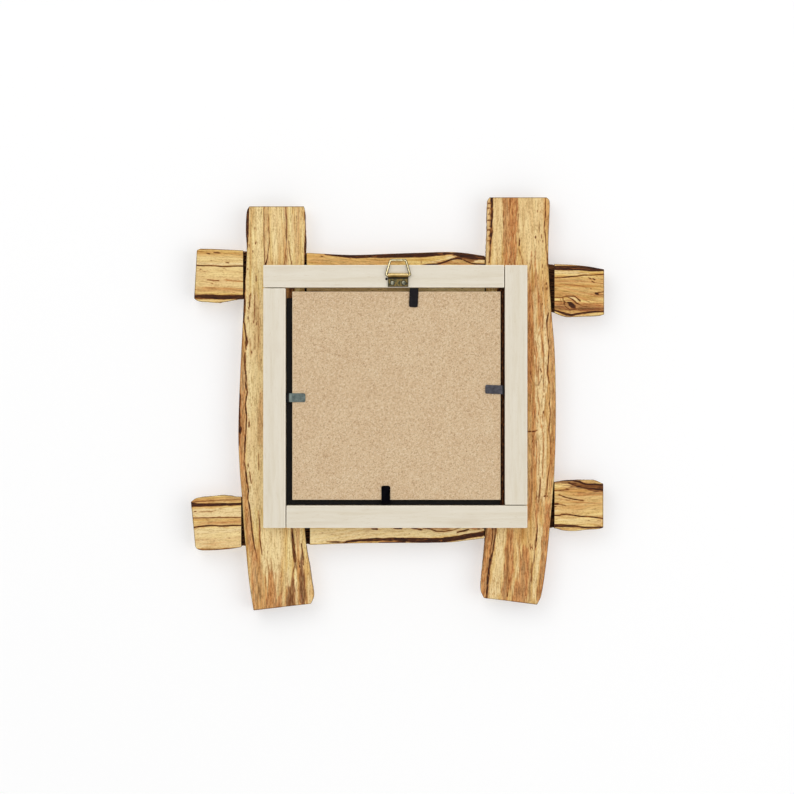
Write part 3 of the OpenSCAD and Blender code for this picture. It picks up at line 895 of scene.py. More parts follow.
def strokeMask(place, points, soft):
    # one inside a bent line with a width at each of its points, falling to nothing over "soft":
    # the distance to each leg, less half the width there, smallest of all legs
    pts = np.array(points, float)
    reach = pts[:, 2].max() / 2 + soft
    least, most = pts[:, :2].min(0) - reach, pts[:, :2].max(0) + reach
    at = np.nonzero(((place[:, :2] > least) & (place[:, :2] < most)).all(1))[0]
    u, v = place[at, 0], place[at, 1]
    best = np.full(len(at), np.inf)
    for a, b in zip(pts[:-1], pts[1:]):
        du, dv = b[0] - a[0], b[1] - a[1]
        t = np.clip(((u - a[0]) * du + (v - a[1]) * dv) / (du * du + dv * dv), 0, 1)
        gap = np.hypot(u - a[0] - t * du, v - a[1] - t * dv) - (a[2] + t * (b[2] - a[2])) / 2
        best = np.minimum(best, gap)
    amount = np.clip(0.5 - best / soft, 0, 1)
    return at, amount * amount * (3 - 2 * amount)


brush = {
    "tones": {"pale": 0, "rust": 1, "plum": 2, "dark": 3, "stain": 3},
    # a wave is (how far, its lengths along, across and in depth, what it adds to the seed)
    "wander": ((0.16, (15.0, 9.0, 50.0), 5), (0.05, (4.0, 4.0, 50.0), 6)),
    "lean": (0.14, (60.0, 25.0, 50.0), 8),
    "fingers": (4.0, (26.0, 1.5, 50.0), 7),
    "torn": (0.3, (9.0, 3.0, 50.0), 10),
    "ragged": (0.24, (5.0, 1.2, 50.0), 9),
    "raggedMean": 0.88,
    "raggedBelow": 1.5,  # softness up to which a stroke is ragged
    "beads": (1.0, (4.5, 1.0, 50.0), 11),
    "beadsMost": 0.85,
    "beadDepth": 0.8,
    "shadeDepth": 3.0,  # painted shade on a ledge fades away down the sides
    "broad": 1.1,  # width from which a line counts as broad
    "underPost": (90, 100),  # a rail's stroke that ends here goes on under the post,
    "tip": (84.0, 3.0, 0.1),  # to this far less three widths, and this thin
    "lineSoft": 1.0,
    "border": (0.6, 0.9, 0.4),  # strength, softness and what it adds to the width
    "fuller": (1.25, 1.05),  # a broad line's width and a narrow one's
}


def drawnOut(points, end, b):
    # a stroke that ends beside a post, drawn out to a point behind it
    u, v, w = points[end]
    if not b["underPost"][0] < abs(u) < b["underPost"][1]:
        return points
    tip = (math.copysign(b["tip"][0] - b["tip"][1] * w, u), v, b["tip"][2])
    return points + [tip] if end else [tip] + points


def paintFigure(place, strokes, seed, beaded, taper, b):
    # strokes laid one over another; a later tone covers earlier ones. Lines wander a little,
    # and tints more, their ends drawn out into fingers along the grain
    flat = place * (1, 1, 0)
    depth = place[:, 2]

    def wave(share, lengths, more):
        return share * swells(flat, seed + more, lengths)

    bent = place[:, :2].copy()
    bent[:, 1] += sum(wave(*w) for w in b["wander"]) + depth * wave(*b["lean"])
    torn = bent + np.stack([wave(*b["fingers"]), wave(*b["torn"])], -1)
    ragged = b["raggedMean"] + wave(*b["ragged"])
    # on the back face the dark lines are broken into beads
    beads = np.clip(beaded * (0.5 + wave(*b["beads"])), 0, b["beadsMost"])
    beads *= np.clip(1 - depth / b["beadDepth"], 0, 1)
    backOnly = np.clip(1 - depth / b["shadeDepth"], 0, 1)
    layers = np.zeros((4, len(place)))

    def lay(tone, strength, soft, points):
        layer = b["tones"][tone]
        tint = tone in ("pale", "rust", "plum") and max(w for u, v, w in points) > b["broad"]
        at, amount = strokeMask(torn if tint else bent, points, soft)
        amount = np.clip(amount * strength * (ragged[at] if soft < b["raggedBelow"] else 1.0), 0, 1)
        # this tone is painted shade on the ledges beside the glass, kept to the back face
        if tone == "stain":
            amount = amount * backOnly[at]
        layers[:, at] *= 1 - amount
        layers[layer, at] += amount

    for tone, strength, soft, *lines in strokes:
        for points in lines:
            if taper:
                points = drawnOut(drawnOut(points, 0, b), -1, b)
            if tone == "dark" and soft < b["lineSoft"]:
                # a dark line has a brown border, and a broad one is fuller
                share, borderSoft, wider = b["border"]
                lay("rust", share * strength, borderSoft, [(u, v, w + wider) for u, v, w in points])
                points = [(u, v, w * b["fuller"][w <= b["broad"]]) for u, v, w in points]
            lay(tone, strength, soft, points)
    layers[3] *= 1 - beads
    return layers


barkPaint = {
    "inFace": 0.02,  # a point this near to a sawn face lies in it
    "inFloor": 0.06,  # the same for a lap's floor and for the end faces
    "endSawn": (0.4, 1.0),  # how sawn the ends look, and how far in from the edges
    "rims": (0.5, 0.6),  # reach of the dark rim from the edges and from the ends
    "tint": (0.75, 0.5, 1.5, 2.2),  # strength, depth where it begins, its fade, its reach in
    "side": (0.6, 0.8, 1.4, 1.2),  # depth, fade, and how the share falls from the edge in
    "waves": ((40.0, 60.0, 5.0), (11.0, 60.0, 1.8)),
    "waveShares": (1.0, 0.7),
    "bark": 0.9,
    "seed": 20,  # added to the plank's own
}


def makePlank(p, s, material):
    # the plank's surface, then what the wood reads at each point of it: its place in the
    # plank, the painted figure, the pale share, the share of darker end grain and painted lap shade, and the
    # rim share
    own, faces, laps, toPlank, toScene, inner, outer = plankSurface(p, s)
    piece = meshPiece(p["name"], toScene(own), faces, material, "frame", [p["node"]])
    mesh = piece.data
    b = barkPaint
    place = toPlank(vertexPlaces(mesh))
    pale, rust, plum, dark = paintFigure(place, p["figure"], p["seed"], p["beaded"], not p["upright"], brush)
    along, across, depth = place.T
    # sawn faces: darker end grain on the ends, and painted shade on the walls and floors of the half laps
    sawn = np.zeros(len(place))
    for start, stop in laps:
        inside = (along > start - b["inFace"]) & (along < stop + b["inFace"])
        floor = inside & (np.abs(depth - s["lap"]) < b["inFloor"])
        wall = np.minimum(np.abs(along - start), np.abs(along - stop)) < b["inFace"]
        wall &= (depth < s["lap"] + b["inFloor"]) if p["lapAtBack"] else (depth > s["lap"] - b["inFloor"])
        sawn[floor | wall] = 1
    lowEdge = np.interp(along, *inner.T)
    highEdge = np.interp(along, *outer.T)
    fromEdge = np.minimum(across - lowEdge, highEdge - across)
    q = (across - lowEdge) / (highEdge - lowEdge)
    lowEnd = inner[0, 0] + q * (outer[0, 0] - inner[0, 0])
    highEnd = inner[-1, 0] + q * (outer[-1, 0] - inner[-1, 0])
    fromEnd = np.minimum(along - lowEnd, highEnd - along)
    endSawn, sawnFrom = b["endSawn"]
    sawn = np.maximum(sawn, endSawn * (fromEnd < b["inFloor"]) * (fromEdge > sawnFrom))
    # the outline is darker, and a rust tint begins just inside the back arris
    rim = sum(np.clip(1 - away / reach, 0, 1) for away, reach in zip((fromEdge, fromEnd), b["rims"]))
    strength, start, fade, reach = b["tint"]
    tinted = faded(depth, start, fade) * np.clip(1 - fromEdge / reach, 0, 1)
    rust = np.clip(rust + strength * tinted, 0, 1)
    # on the sides the painted figure gives way to long dark patches of bark
    start, fade, most, reach = b["side"]
    onSide = faded(depth, start, fade) * np.clip(most - fromEdge / reach, 0, 1)
    onSide *= fromEnd > b["inFloor"]
    bark = sum(share * swells(place, p["seed"] + b["seed"] + k, wave)
               for k, (share, wave) in enumerate(zip(b["waveShares"], b["waves"])))
    dark = dark * (1 - onSide) + onSide * np.clip(b["bark"] * bark, 0, 1)
    pale = pale * (1 - onSide)
    seen = {"grain": place, "figure": np.stack([dark, rust, plum], -1),
            "edges": np.stack([pale, sawn, np.clip(rim, 0, 1)], -1)}
    for name, values in seen.items():
        layer = mesh.attributes.new(name, "FLOAT_VECTOR", "POINT")
        layer.data.foreach_set("vector", values.astype(np.float32).ravel())
    print("plank", p["name"], len(mesh.polygons), "faces")


# A plank's figure is strokes of (tone, strength, softness, line, line, ...), laid in this order,
# and a line is points of (along, across, width), all in millimetres of the plank.
rightPost = {
    "name": "right_post_wood", "node": "right_post", "slot": "post_wood", "upright": True, "side": 1,
    "middle": 75.3, "slope": 0.0, "lapAtBack": False, "seed": 33, "tint": (1.0, 1.02, 1.07), "beaded": 0.3,
    "fibre": 0.66,
}
rightPost["figure"] = [
    # top end, broad tints
    ("rust", 0.35, 3, [(104, 13, 3), (116, 13, 3)]),
    ("rust", 0.45, 1.5, [(118, -8, 2.6), (100, -8, 3), (80, -8.2, 3.2)]),
    ("rust", 0.4, 2, [(118, -15.5, 2.4), (100, -15.3, 2.6), (82, -15.5, 3)]),
    ("rust", 0.55, 0.6, [(118, 4, 1.6), (100, 3.5, 2.4), (84, 3.8, 1)]),
    ("pale", 0.15, 2, [(118, 0, 30), (84, 0, 30)]),
    ("pale", 0.65, 2.5, [(56, 9, 14), (20, 9, 15), (-30, 9, 15), (-64, 7, 12)]),
    ("pale", 0.5, 2, [(116, 9, 4), (95, 8.5, 4), (82, 8.5, 4)]),
    ("pale", 0.45, 2, [(116, -2.5, 5), (95, -2.5, 5), (82, -2, 4)]),
    ("pale", 0.45, 1.5, [(112, -12.3, 2), (90, -13, 2)]),
    ("rust", 0.5, 0.5, [(116, -13.5, 0.6), (100, -13.7, 0.7), (88, -13.8, 0.6)], [(116, -16, 0.6),
     (98, -16.2, 0.8), (86, -16.5, 0.6)]),
    # top end, lines
    ("dark", 0.75, 0.35, [(117, 5.2, 0.4), (100, 5, 0.5), (85, 4.8, 0.5), (80.5, 4.2, 0.5)]),
    ("dark", 0.7, 0.35, [(117, 2.7, 0.3), (105, 2, 0.4), (95, 1.8, 0.4), (90, 2.3, 0.4)]),
    ("dark", 0.85, 0.35, [(90, 2.3, 0.4), (85, 2.8, 0.5), (83, 3.3, 0.6), (80, 4.3, 0.9)]),
    ("dark", 0.4, 0.5, [(117, -8, 0.5), (114, -8.2, 0.6)]),
    ("plum", 0.9, 0.6, [(114, -8.2, 0.8), (110, -8.5, 1), (105, -8.6, 0.9), (97, -8.7, 1), (94, -8.6, 0.6)]),
    ("dark", 0.6, 0.45, [(104, -8.6, 0.6), (97, -8.7, 0.6)]),
    ("dark", 0.5, 0.4, [(94, -8.6, 0.5), (87, -7.9, 0.5), (80.5, -7.5, 0.5)], [(86, -8.5, 0.4),
     (82, -8.6, 0.5)]),
    ("dark", 0.6, 0.35, [(95, -10, 0.4), (91, -10.3, 0.4), (86, -11, 0.5), (81, -11.8, 0.5)]),
    ("dark", 0.8, 0.4, [(113, -20, 0.5), (105, -20.5, 0.5), (98, -20.3, 0.6)]),
    ("dark", 1, 0.4, [(98, -20.4, 0.9), (90, -20.4, 1.2), (81, -20.2, 1.1)]),
    ("dark", 0.8, 0.3, [(94.6, 10.2, 0.4), (93.4, 10.2, 0.4)]),
    ("dark", 0.7, 0.3, [(89, 11.7, 0.5), (88, 11.7, 0.4)]),
    ("dark", 0.8, 0.3, [(73.5, 9.8, 0.5), (70.5, 9.9, 0.4)], [(78.4, 15, 0.5), (77.6, 15, 0.5)],
     [(63, 13.2, 0.5), (62, 13.3, 0.5)]),
    ("dark", 0.5, 0.3, [(103, 11.2, 0.4), (102, 11.2, 0.4)], [(99.5, 13.4, 0.4), (98, 13.4, 0.4)]),
    ("dark", 0.55, 0.3, [(93, 14.2, 0.4), (91.5, 14.1, 0.4)]),
    ("dark", 1, 0.45, [(116.5, 14.7, 1), (110, 15.3, 1.4), (100, 15.3, 1.3), (92, 16, 1.4)], [(92, 16, 1.4),
     (88, 16.8, 1.5), (80, 16.8, 1.3), (70, 17.2, 1.4)], [(70, 17.2, 1.3), (62, 17.3, 1.3), (57, 16.9, 1.1),
     (50, 17.3, 1.1), (46, 17.5, 1)]),
    # corner beside the glass: a rust tint and painted shade
    ("rust", 0.9, 0.8, [(67, -9.5, 5), (57, -9.5, 5)]),
    ("stain", 0.6, 1, [(67, -12, 3.5), (57, -12, 3.5)]),
    # middle, broad tints
    ("rust", 0.85, 0.8, [(46, 19.3, 2), (30, 19, 3.6), (10, 18.8, 4.4), (-20, 18.9, 4.6), (-42, 18.6, 3.6)]),
    ("rust", 0.8, 0.8, [(-42, 18.4, 3.6), (-60, 16.6, 3.4), (-80, 14.6, 3.6), (-98, 11.8, 4)]),
    ("pale", 0.75, 0.8, [(44, 15.5, 1.8), (20, 14.8, 2), (-10, 14.4, 2), (-45, 14, 1.8), (-75, 11.6, 1.8)]),
    ("rust", 0.3, 2, [(0, 7, 4), (-30, 7, 4)]),
    ("rust", 0.2, 2, [(62, 9, 3), (20, 9, 3.5)]),
    # middle, lines
    ("dark", 0.55, 0.35, [(62, 10.7, 0.5), (52, 10.7, 0.5), (45, 11.5, 0.5)]),
    ("dark", 0.85, 0.35, [(62, 13.8, 0.5), (55, 13.8, 0.6)]),
    ("dark", 0.85, 0.3, [(54.6, 14.3, 0.5), (53.6, 14.3, 0.4)], [(48.6, 14.7, 0.5), (47.4, 14.7, 0.4)]),
    ("dark", 0.75, 0.3, [(45.2, 9.7, 0.5), (43.8, 9.7, 0.4)], [(27.6, 12.7, 0.5), (26.4, 12.7, 0.5)]),
    ("dark", 0.35, 0.4, [(35, 13.5, 0.4), (25, 13.5, 0.4)], [(38, 10.5, 0.4), (29, 10.5, 0.5)]),
    ("dark", 0.3, 0.4, [(50, 8.5, 0.4), (30, 8.5, 0.4)]),
    ("dark", 0.95, 0.4, [(46, 17.5, 0.9), (44, 17, 0.8), (38, 16.2, 0.7), (35.5, 15.7, 1.1),
     (34.5, 15.7, 1.1), (32, 16.5, 0.7), (29, 16, 0.6)], [(24, 17.5, 0.6), (21, 17, 0.8), (16, 16.3, 0.7),
     (12, 15.8, 0.8), (8, 16.2, 0.7), (5, 16, 0.8), (3, 15.2, 0.9), (0, 16, 0.7)]),
    ("dark", 0.9, 0.4, [(0, 16, 0.7), (-5, 16.5, 0.6), (-10, 15.8, 0.7), (-20, 16, 0.7), (-25, 16.4, 0.9),
     (-28, 16.5, 1), (-35, 17, 0.6), (-40, 17, 0.6)], [(-40, 17, 0.6), (-42, 16.5, 0.8), (-47, 15.8, 0.6),
     (-52, 15.3, 0.7), (-57, 14.6, 0.8), (-62, 15, 0.5), (-66, 14, 0.7), (-72, 13.5, 0.6)], [(-72, 13.5, 0.6),
     (-80, 12.5, 0.7), (-84, 12.2, 0.9), (-92, 11, 0.6), (-96, 10, 1), (-99, 9.5, 0.7)]),
    ("dark", 0.9, 0.5, [(2, 20, 0.6), (0, 19.8, 1), (-12, 20, 1.1), (-25, 20, 0.9), (-30, 20.4, 0.5)]),
    ("dark", 0.95, 0.5, [(-19.4, 19.6, 1.4), (-21.6, 19.8, 1.6)]),
    ("plum", 0.7, 0.7, [(40, 18.6, 0.8), (30, 18.4, 1), (18, 18, 0.8), (4, 18, 0.8)]),
    ("plum", 0.6, 0.7, [(-8, 18.2, 0.6), (-20, 18.4, 1), (-34, 18.6, 0.7)]),
    ("dark", 0.8, 0.4, [(36, 15.4, 0.5), (33.5, 15.2, 1.2), (31, 15.6, 0.4)], [(27, 16.6, 0.4),
     (24.5, 16.9, 1.1), (21, 16.5, 0.5)]),
    ("dark", 0.7, 0.4, [(-46, 16.4, 0.4), (-49, 16, 0.9), (-53, 15.6, 0.4)]),
    ("dark", 0.85, 0.3, [(-15.6, 14.2, 0.7), (-18.4, 14.2, 0.8)]),
    ("dark", 0.8, 0.3, [(-41.4, 14.5, 0.5), (-42.6, 14.5, 0.5)]),
    ("dark", 0.6, 0.35, [(-46, 13.7, 0.5), (-50, 13.3, 0.6), (-53, 12.7, 0.5)]),
    ("dark", 0.45, 0.35, [(-35, 8.3, 0.5), (-45, 8.3, 0.6)]),
    ("plum", 0.75, 0.35, [(-30.4, 5.2, 0.7), (-30.2, 8.5, 0.6)]),
    # foot, broad tints
    ("pale", 0.7, 3, [(-80, 0, 14), (-100, 0, 12), (-114, 0, 8)]),
    ("rust", 0.65, 2, [(-92, 10, 1), (-100, 10, 6), (-112, 9.5, 8), (-130, 8, 8)]),
    ("plum", 0.6, 1.5, [(-102, 8, 0.5), (-112, 10.5, 2.5)], [(-114, 7, 0.5), (-124, 9, 3)]),
    ("rust", 0.8, 1.6, [(-106, 2, 0.5), (-116, 1, 5), (-130, 0, 8)]),
    ("rust", 0.4, 2, [(-108, -5, 3), (-122, -5, 3)]),
    ("rust", 0.75, 1.2, [(-78, -15.5, 1.8), (-95, -15.6, 2.6), (-106, -16, 2)]),
    ("rust", 0.8, 1.5, [(-98, -18, 0.5), (-108, -18, 4), (-127, -19, 6)]),
    ("rust", 0.85, 1.5, [(-110, -12, 0.5), (-118, -12, 7), (-130, -11.5, 9)]),
    ("plum", 1, 0.9, [(-101, -18, 0.5), (-108, -18, 3), (-118, -18.5, 4), (-127, -19, 3.6)],
     [(-110, -12.5, 0.5), (-117, -12, 4.6), (-130, -12, 8)]),
    ("plum", 0.7, 1, [(-120, -5, 0.5), (-130, -4.5, 3)]),
    ("dark", 0.45, 1.4, [(-117, -10.5, 2), (-123, -12.4, 4), (-129, -11, 5)]),
    ("dark", 0.4, 1.2, [(-106, -17.8, 1.4), (-120, -18, 2)]),
    ("rust", 0.8, 1, [(-120, -14, 1.2), (-129, -14.4, 1)]),
    ("rust", 0.85, 1.6, [(-122, -4.5, 3), (-130, -4.5, 4)]),
    ("rust", 0.85, 0.8, [(-110, 12.5, 1), (-126, 11, 1.4)], [(-112, 4.6, 0.8), (-129, 3, 1.2)]),
    ("rust", 0.8, 0.8, [(-108, -2, 0.6), (-122, -2.5, 0.9)]),
    ("pale", 0.6, 1.2, [(-107, -9, 2.5), (-117, -9, 2.5)]),
    ("pale", 0.75, 0.8, [(-104, -14.6, 0.8), (-115, -14.8, 1.6), (-127, -15, 1.4)]),
    ("pale", 0.55, 1.2, [(-108, -22, 1.5), (-128, -23, 2.4)]),
    # foot, lines
    ("rust", 0.9, 0.5, [(-70, 8.5, 0.6), (-85, 7.6, 1)]),
    ("dark", 0.6, 0.45, [(-72, 8.4, 0.4), (-85, 7.7, 0.7), (-92, 7.1, 0.7), (-97, 6, 0.5)]),
    ("dark", 0.35, 0.35, [(-100, 3, 0.4), (-106, 2, 0.4), (-112, 1, 0.4)]),
    ("dark", 0.3, 0.35, [(-99, 0.8, 0.3), (-110, -0.6, 0.4)]),
    ("plum", 0.9, 0.7, [(-78, -12, 1.2), (-88, -12.5, 2.4), (-95, -13.2, 2.6), (-100, -13.8, 2.4),
     (-106, -13.4, 1.2)]),
    ("dark", 0.75, 0.6, [(-80, -12.2, 0.8), (-88, -12.5, 1.4), (-95, -13.2, 1.6), (-101, -13.8, 1.4)]),
    ("dark", 0.5, 0.4, [(-104, -13.5, 0.8), (-112, -12, 0.3)]),
    ("dark", 0.95, 0.35, [(-90, -17.7, 0.5), (-95, -18.5, 0.6), (-100, -19, 0.6), (-103, -19.3, 0.4)]),
    ("dark", 0.7, 0.3, [(-103.6, -16.8, 0.6), (-104.6, -16.8, 0.6)]),
]
leftPost = {
    "name": "left_post_wood", "node": "left_post", "slot": "post_wood", "upright": True, "side": -1,
    "middle": 75.3, "slope": 0.0, "lapAtBack": False, "seed": 21, "tint": (0.975, 0.955, 0.965),
    "beaded": 0.35, "fibre": 0.66,
}
leftPost["figure"] = [
    # top end, broad tints
    ("pale", 0.5, 1.5, [(122, -12.5, 5.5), (100, -12.6, 5.5), (82, -13, 5)]),
    ("rust", 1, 0.7, [(122, -4.6, 8.4), (100, -4.8, 8.2), (82, -5, 8)]),
    ("plum", 0.4, 1, [(121, -8, 1.2), (90, -8, 1)]),
    ("pale", 0.3, 0.6, [(120, -6.7, 1.2), (98, -6.8, 1.2), (84, -6.5, 1)]),
    ("pale", 0.45, 3, [(122, 8, 15), (100, 8, 15), (84, 9, 12)]),
    ("rust", 0.5, 0.8, [(122, -18.2, 2.2), (104, -18.6, 2.2), (84, -19, 2)]),
    # top end, lines
    ("pale", 0.5, 0.8, [(121, -18.2, 2), (84, -19, 1.8)]),
    ("dark", 1, 0.45, [(122, -16.2, 1.4), (116, -16.2, 1), (110, -16.3, 1.5), (106, -16.5, 0.9),
     (100, -16.6, 1.4), (94, -17.2, 1.1)]),
    ("dark", 0.75, 0.4, [(94, -17.2, 0.7), (91, -17.3, 0.4), (88, -17.6, 0.8), (85, -17.6, 0.4),
     (82, -17.8, 0.7)]),
    ("dark", 0.8, 0.4, [(118.6, -18.8, 0.6), (118.2, -16.6, 0.8)], [(115.2, -18.6, 0.6),
     (114.8, -16.6, 0.8)]),
    ("dark", 0.7, 0.4, [(111.4, -18.4, 0.5), (111.1, -16.6, 0.8)], [(107.9, -18.8, 0.6),
     (107.6, -16.8, 0.8)]),
    ("dark", 0.8, 0.4, [(104.5, -17.9, 0.6), (104.2, -16.8, 0.8)], [(102.2, -19, 0.6), (101.8, -17, 0.8)]),
    ("dark", 0.7, 0.4, [(98.6, -18.6, 0.5), (98.2, -17, 0.8)]),
    ("dark", 0.6, 0.4, [(95.4, -18.8, 0.5), (95.1, -17.4, 0.7)]),
    ("dark", 0.45, 0.4, [(122, -9.2, 0.5), (110, -9.1, 0.6), (100, -9.2, 0.5), (92, -9.2, 0.3)]),
    ("dark", 0.4, 0.35, [(121, -5.5, 0.4), (100, -5.5, 0.4)]),
    ("dark", 0.45, 0.35, [(112, 0, 0.4), (105, -0.5, 0.5), (100, 0.2, 0.5)]),
    ("dark", 0.85, 0.4, [(97, 0.6, 0.6), (95, 0.8, 0.8), (92, 0.5, 0.5)]),
    ("dark", 0.5, 0.4, [(91, 0.2, 0.5), (84, 2.2, 0.5), (81, 2.5, 0.5)]),
    ("dark", 0.7, 0.35, [(113.7, 11.5, 0.5), (113.2, 11.5, 0.5)], [(113.2, 13.5, 0.5), (112.8, 13.5, 0.5)]),
    ("plum", 0.6, 1, [(104.4, 13, 1.4), (103.6, 13, 1.4)]),
    ("dark", 0.85, 0.4, [(97.8, 10.5, 0.9), (97.2, 10.5, 0.9)]),
    ("dark", 0.65, 0.35, [(99, 14.2, 0.5), (97, 14.3, 0.5)], [(95.5, 14.8, 0.6), (94.5, 14.8, 0.5)]),
    ("dark", 0.65, 0.4, [(121.5, 16.6, 0.5), (112, 16.8, 0.6), (107, 16.2, 0.5), (103, 16, 0.6),
     (97, 16.6, 0.6), (90, 17.2, 0.6), (85, 17.8, 0.5), (80, 18, 0.6)]),
    ("rust", 0.5, 1, [(121, 18.6, 1.5), (105, 18, 1.6), (84, 19.4, 1.6)]),
    # flames above the middle
    ("rust", 0.9, 0.5, [(86, 8, 0.5), (80, 7.3, 1.2), (72, 6.5, 1.2), (64, 7, 1.2)]),
    ("rust", 0.95, 0.6, [(85, 10.2, 0.6), (78, 10.7, 1.6), (72, 11, 1.9), (66, 11.5, 1.7), (61, 12, 1.6)]),
    ("plum", 0.5, 0.5, [(79, 10.7, 0.5), (70, 11.1, 0.8), (64, 11.6, 0.7)]),
    ("dark", 0.55, 0.35, [(81, 14.8, 0.4), (79, 14.8, 0.5)], [(77, 14.8, 0.4), (75, 14.8, 0.5)],
     [(71, 14.8, 0.4), (69, 14.8, 0.5)], [(67, 14.8, 0.4), (65, 14.8, 0.5)]),
    ("dark", 0.9, 0.4, [(69.4, 17, 0.8), (68.6, 17, 0.9)], [(66.3, 17.5, 0.7), (65.7, 17.5, 0.8)]),
    # ledge beside the glass: painted shade over it, and a thin rust line
    ("stain", 1, 1.5, [(70, -10.5, 4.8), (-70, -10.5, 4.8)]),
    ("rust", 0.6, 0.5, [(66, -9.7, 0.6), (-66, -9.7, 0.6)]),
    # middle, broad tints
    ("rust", 0.35, 2, [(66, 12, 14), (-66, 12, 14)]),
    ("rust", 0.9, 0.8, [(64, 7.4, 2.8), (48, 7.6, 3)]),
    ("rust", 0.8, 1.2, [(47, 7.2, 3.8), (30, 7.2, 4.2), (14, 6.9, 3.8)]),
    ("pale", 0.7, 0.8, [(62, 9.9, 1.4), (48, 10, 1.8), (35, 10.4, 1.4)]),
    ("rust", 0.9, 0.8, [(62, 11.5, 1.4), (56, 12.6, 2.2), (50, 13.5, 3), (45, 13.5, 2.4), (38, 14, 0.8)]),
    ("plum", 0.45, 0.8, [(54, 13, 1), (47, 13.6, 1.2)]),
    ("pale", 0.85, 0.7, [(52, 16.6, 2.2), (30, 16.7, 2.6), (10, 16.7, 2.4), (2, 16, 2.2), (-6, 15, 2.2)]),
    ("pale", 0.85, 0.5, [(41, 13, 0.8), (33, 13, 1.4), (27, 13, 1.2), (18, 13.4, 1.4), (8, 14, 1.6)]),
    ("rust", 0.75, 0.9, [(52, 20, 2), (30, 20.6, 2.6), (0, 21.3, 2.6), (-30, 21.4, 2.6), (-55, 19.8, 2.6)]),
    ("rust", 0.75, 1, [(14, 6.8, 3.4), (0, 6.8, 3.4)]),
    ("rust", 0.75, 0.8, [(4, 9.2, 1.4), (-6, 9.4, 2.2), (-30, 9.4, 2.2), (-46, 9.2, 2)]),
    ("pale", 0.8, 0.8, [(-16, 15, 4), (-32, 14.6, 6), (-47, 14.4, 5)]),
    ("rust", 0.85, 0.9, [(-44, 8.6, 2.2), (-55, 8, 2.6), (-65, 7.4, 2.2), (-70, 6, 1.4), (-76, 5.8, 1),
     (-82, 5.6, 0.5)]),
    ("pale", 0.7, 0.9, [(-48, 15.6, 1.8), (-66, 15.2, 1.8)]),
    ("pale", 0.5, 1.5, [(0, 12.5, 3), (-8, 12.5, 2.5)]),
    ("pale", 0.8, 0.6, [(42, 12.6, 2.2), (28, 12.2, 4.2), (12, 12.8, 4.6), (-2, 13, 6), (-10, 13, 5)],
     [(-14, 13.4, 5), (-28, 12.6, 5), (-44, 13.2, 4.4), (-62, 13, 3)]),
    ("rust", 0.9, 0.6, [(60, 14.6, 0.4), (50, 15, 0.8), (42, 14.9, 0.6)]),
    ("rust", 1, 0.4, [(34, 10.4, 0.5), (26, 11.6, 0.8), (20, 10.8, 0.7), (12, 11.4, 0.5)], [(-24, 10.6, 0.6),
     (-34, 11.4, 0.8), (-46, 10.6, 0.7), (-58, 10.4, 0.5)]),
    ("plum", 0.8, 0.4, [(32, 15.6, 0.4), (22, 15.2, 0.7), (14, 15.8, 0.5), (4, 15.2, 0.4)]),
    ("rust", 0.85, 0.6, [(24, 12.6, 0.4), (16, 12.2, 0.9), (8, 12.4, 0.5)]),
    ("rust", 0.8, 0.6, [(4, 11.6, 0.4), (-4, 12.4, 0.8), (-10, 12.8, 0.4)]),
    ("rust", 0.85, 0.5, [(-26, 12.2, 0.4), (-36, 12.8, 0.8), (-48, 12.4, 0.5)]),
    ("plum", 0.45, 0.7, [(64, 5.4, 0.6), (40, 5.6, 1), (16, 5.4, 0.6)]),
    ("plum", 0.5, 0.7, [(10, 5.4, 0.6), (-20, 5.6, 0.8), (-50, 5.8, 0.9), (-64, 5.8, 0.6)]),
    ("plum", 0.45, 0.6, [(-34, 8.6, 0.4), (-46, 8.8, 0.9), (-60, 8.2, 0.8), (-70, 7, 0.4)]),
    ("plum", 0.4, 0.7, [(30, 20.4, 0.6), (0, 21, 0.8), (-30, 21.2, 0.8), (-50, 20, 0.5)]),
    # middle, lines
    ("rust", 1, 0.4, [(45, 8.5, 0.7), (38, 9, 0.7), (30, 9.5, 0.7), (26, 10.5, 0.7), (24, 11, 0.6)]),
    ("dark", 0.35, 0.4, [(45, 8.5, 0.3), (38, 9, 0.4), (30, 9.5, 0.4), (24, 11, 0.4)]),
    ("rust", 0.9, 0.5, [(38, 14, 0.6), (34, 14.7, 0.9), (28, 15, 0.8), (25, 15.2, 0.6)]),
    ("dark", 0.45, 0.35, [(36, 14.3, 0.4), (31, 14.9, 0.5), (27, 15.1, 0.4)]),
    ("dark", 0.85, 0.35, [(57, 14.8, 0.6), (56, 14.8, 0.7)]),
    ("rust", 1, 0.5, [(38.5, 12.7, 1.3), (37.5, 12.7, 1.3)]),
    ("dark", 0.85, 0.4, [(51, 18.5, 0.6), (48, 17.9, 0.8), (46, 17.7, 1.1), (43, 17.7, 0.7), (40, 17.8, 0.4),
     (36, 18.3, 0.4), (30, 18.8, 0.4), (25, 18.5, 0.6), (20, 18.2, 0.5)]),
    ("dark", 0.7, 0.4, [(20, 18.2, 0.5), (16.5, 17.9, 0.9), (14.5, 17.8, 1), (12, 18.5, 0.5), (8, 19, 0.4)]),
    ("dark", 0.55, 0.35, [(6, 19.2, 0.4), (0, 19.5, 0.4), (-4, 19, 0.5)]),
    ("dark", 0.8, 0.35, [(17, 13.3, 0.5), (15, 14.1, 0.7)]),
    ("plum", 0.7, 0.5, [(11.5, 8.2, 0.5), (9, 9.2, 0.6), (7, 10.6, 0.7), (7.2, 12.2, 0.7), (9.5, 13.6, 0.6),
     (13, 14.3, 0.4)]),
    ("dark", 0.6, 0.3, [(8, 15.5, 0.4), (6.6, 15.5, 0.4)], [(4, 15.7, 0.4), (2.8, 15.7, 0.5)]),
    ("dark", 0.5, 0.3, [(0.6, 15.4, 0.4), (-0.4, 15.4, 0.4)]),
    ("rust", 0.95, 0.5, [(-9.5, 8.5, 1.2), (-12, 11, 1.5), (-13, 13, 1.5), (-16, 14, 1.4), (-19, 15.5, 1)]),
    ("dark", 0.75, 0.3, [(-9, 15.2, 0.5), (-10, 15.2, 0.5)]),
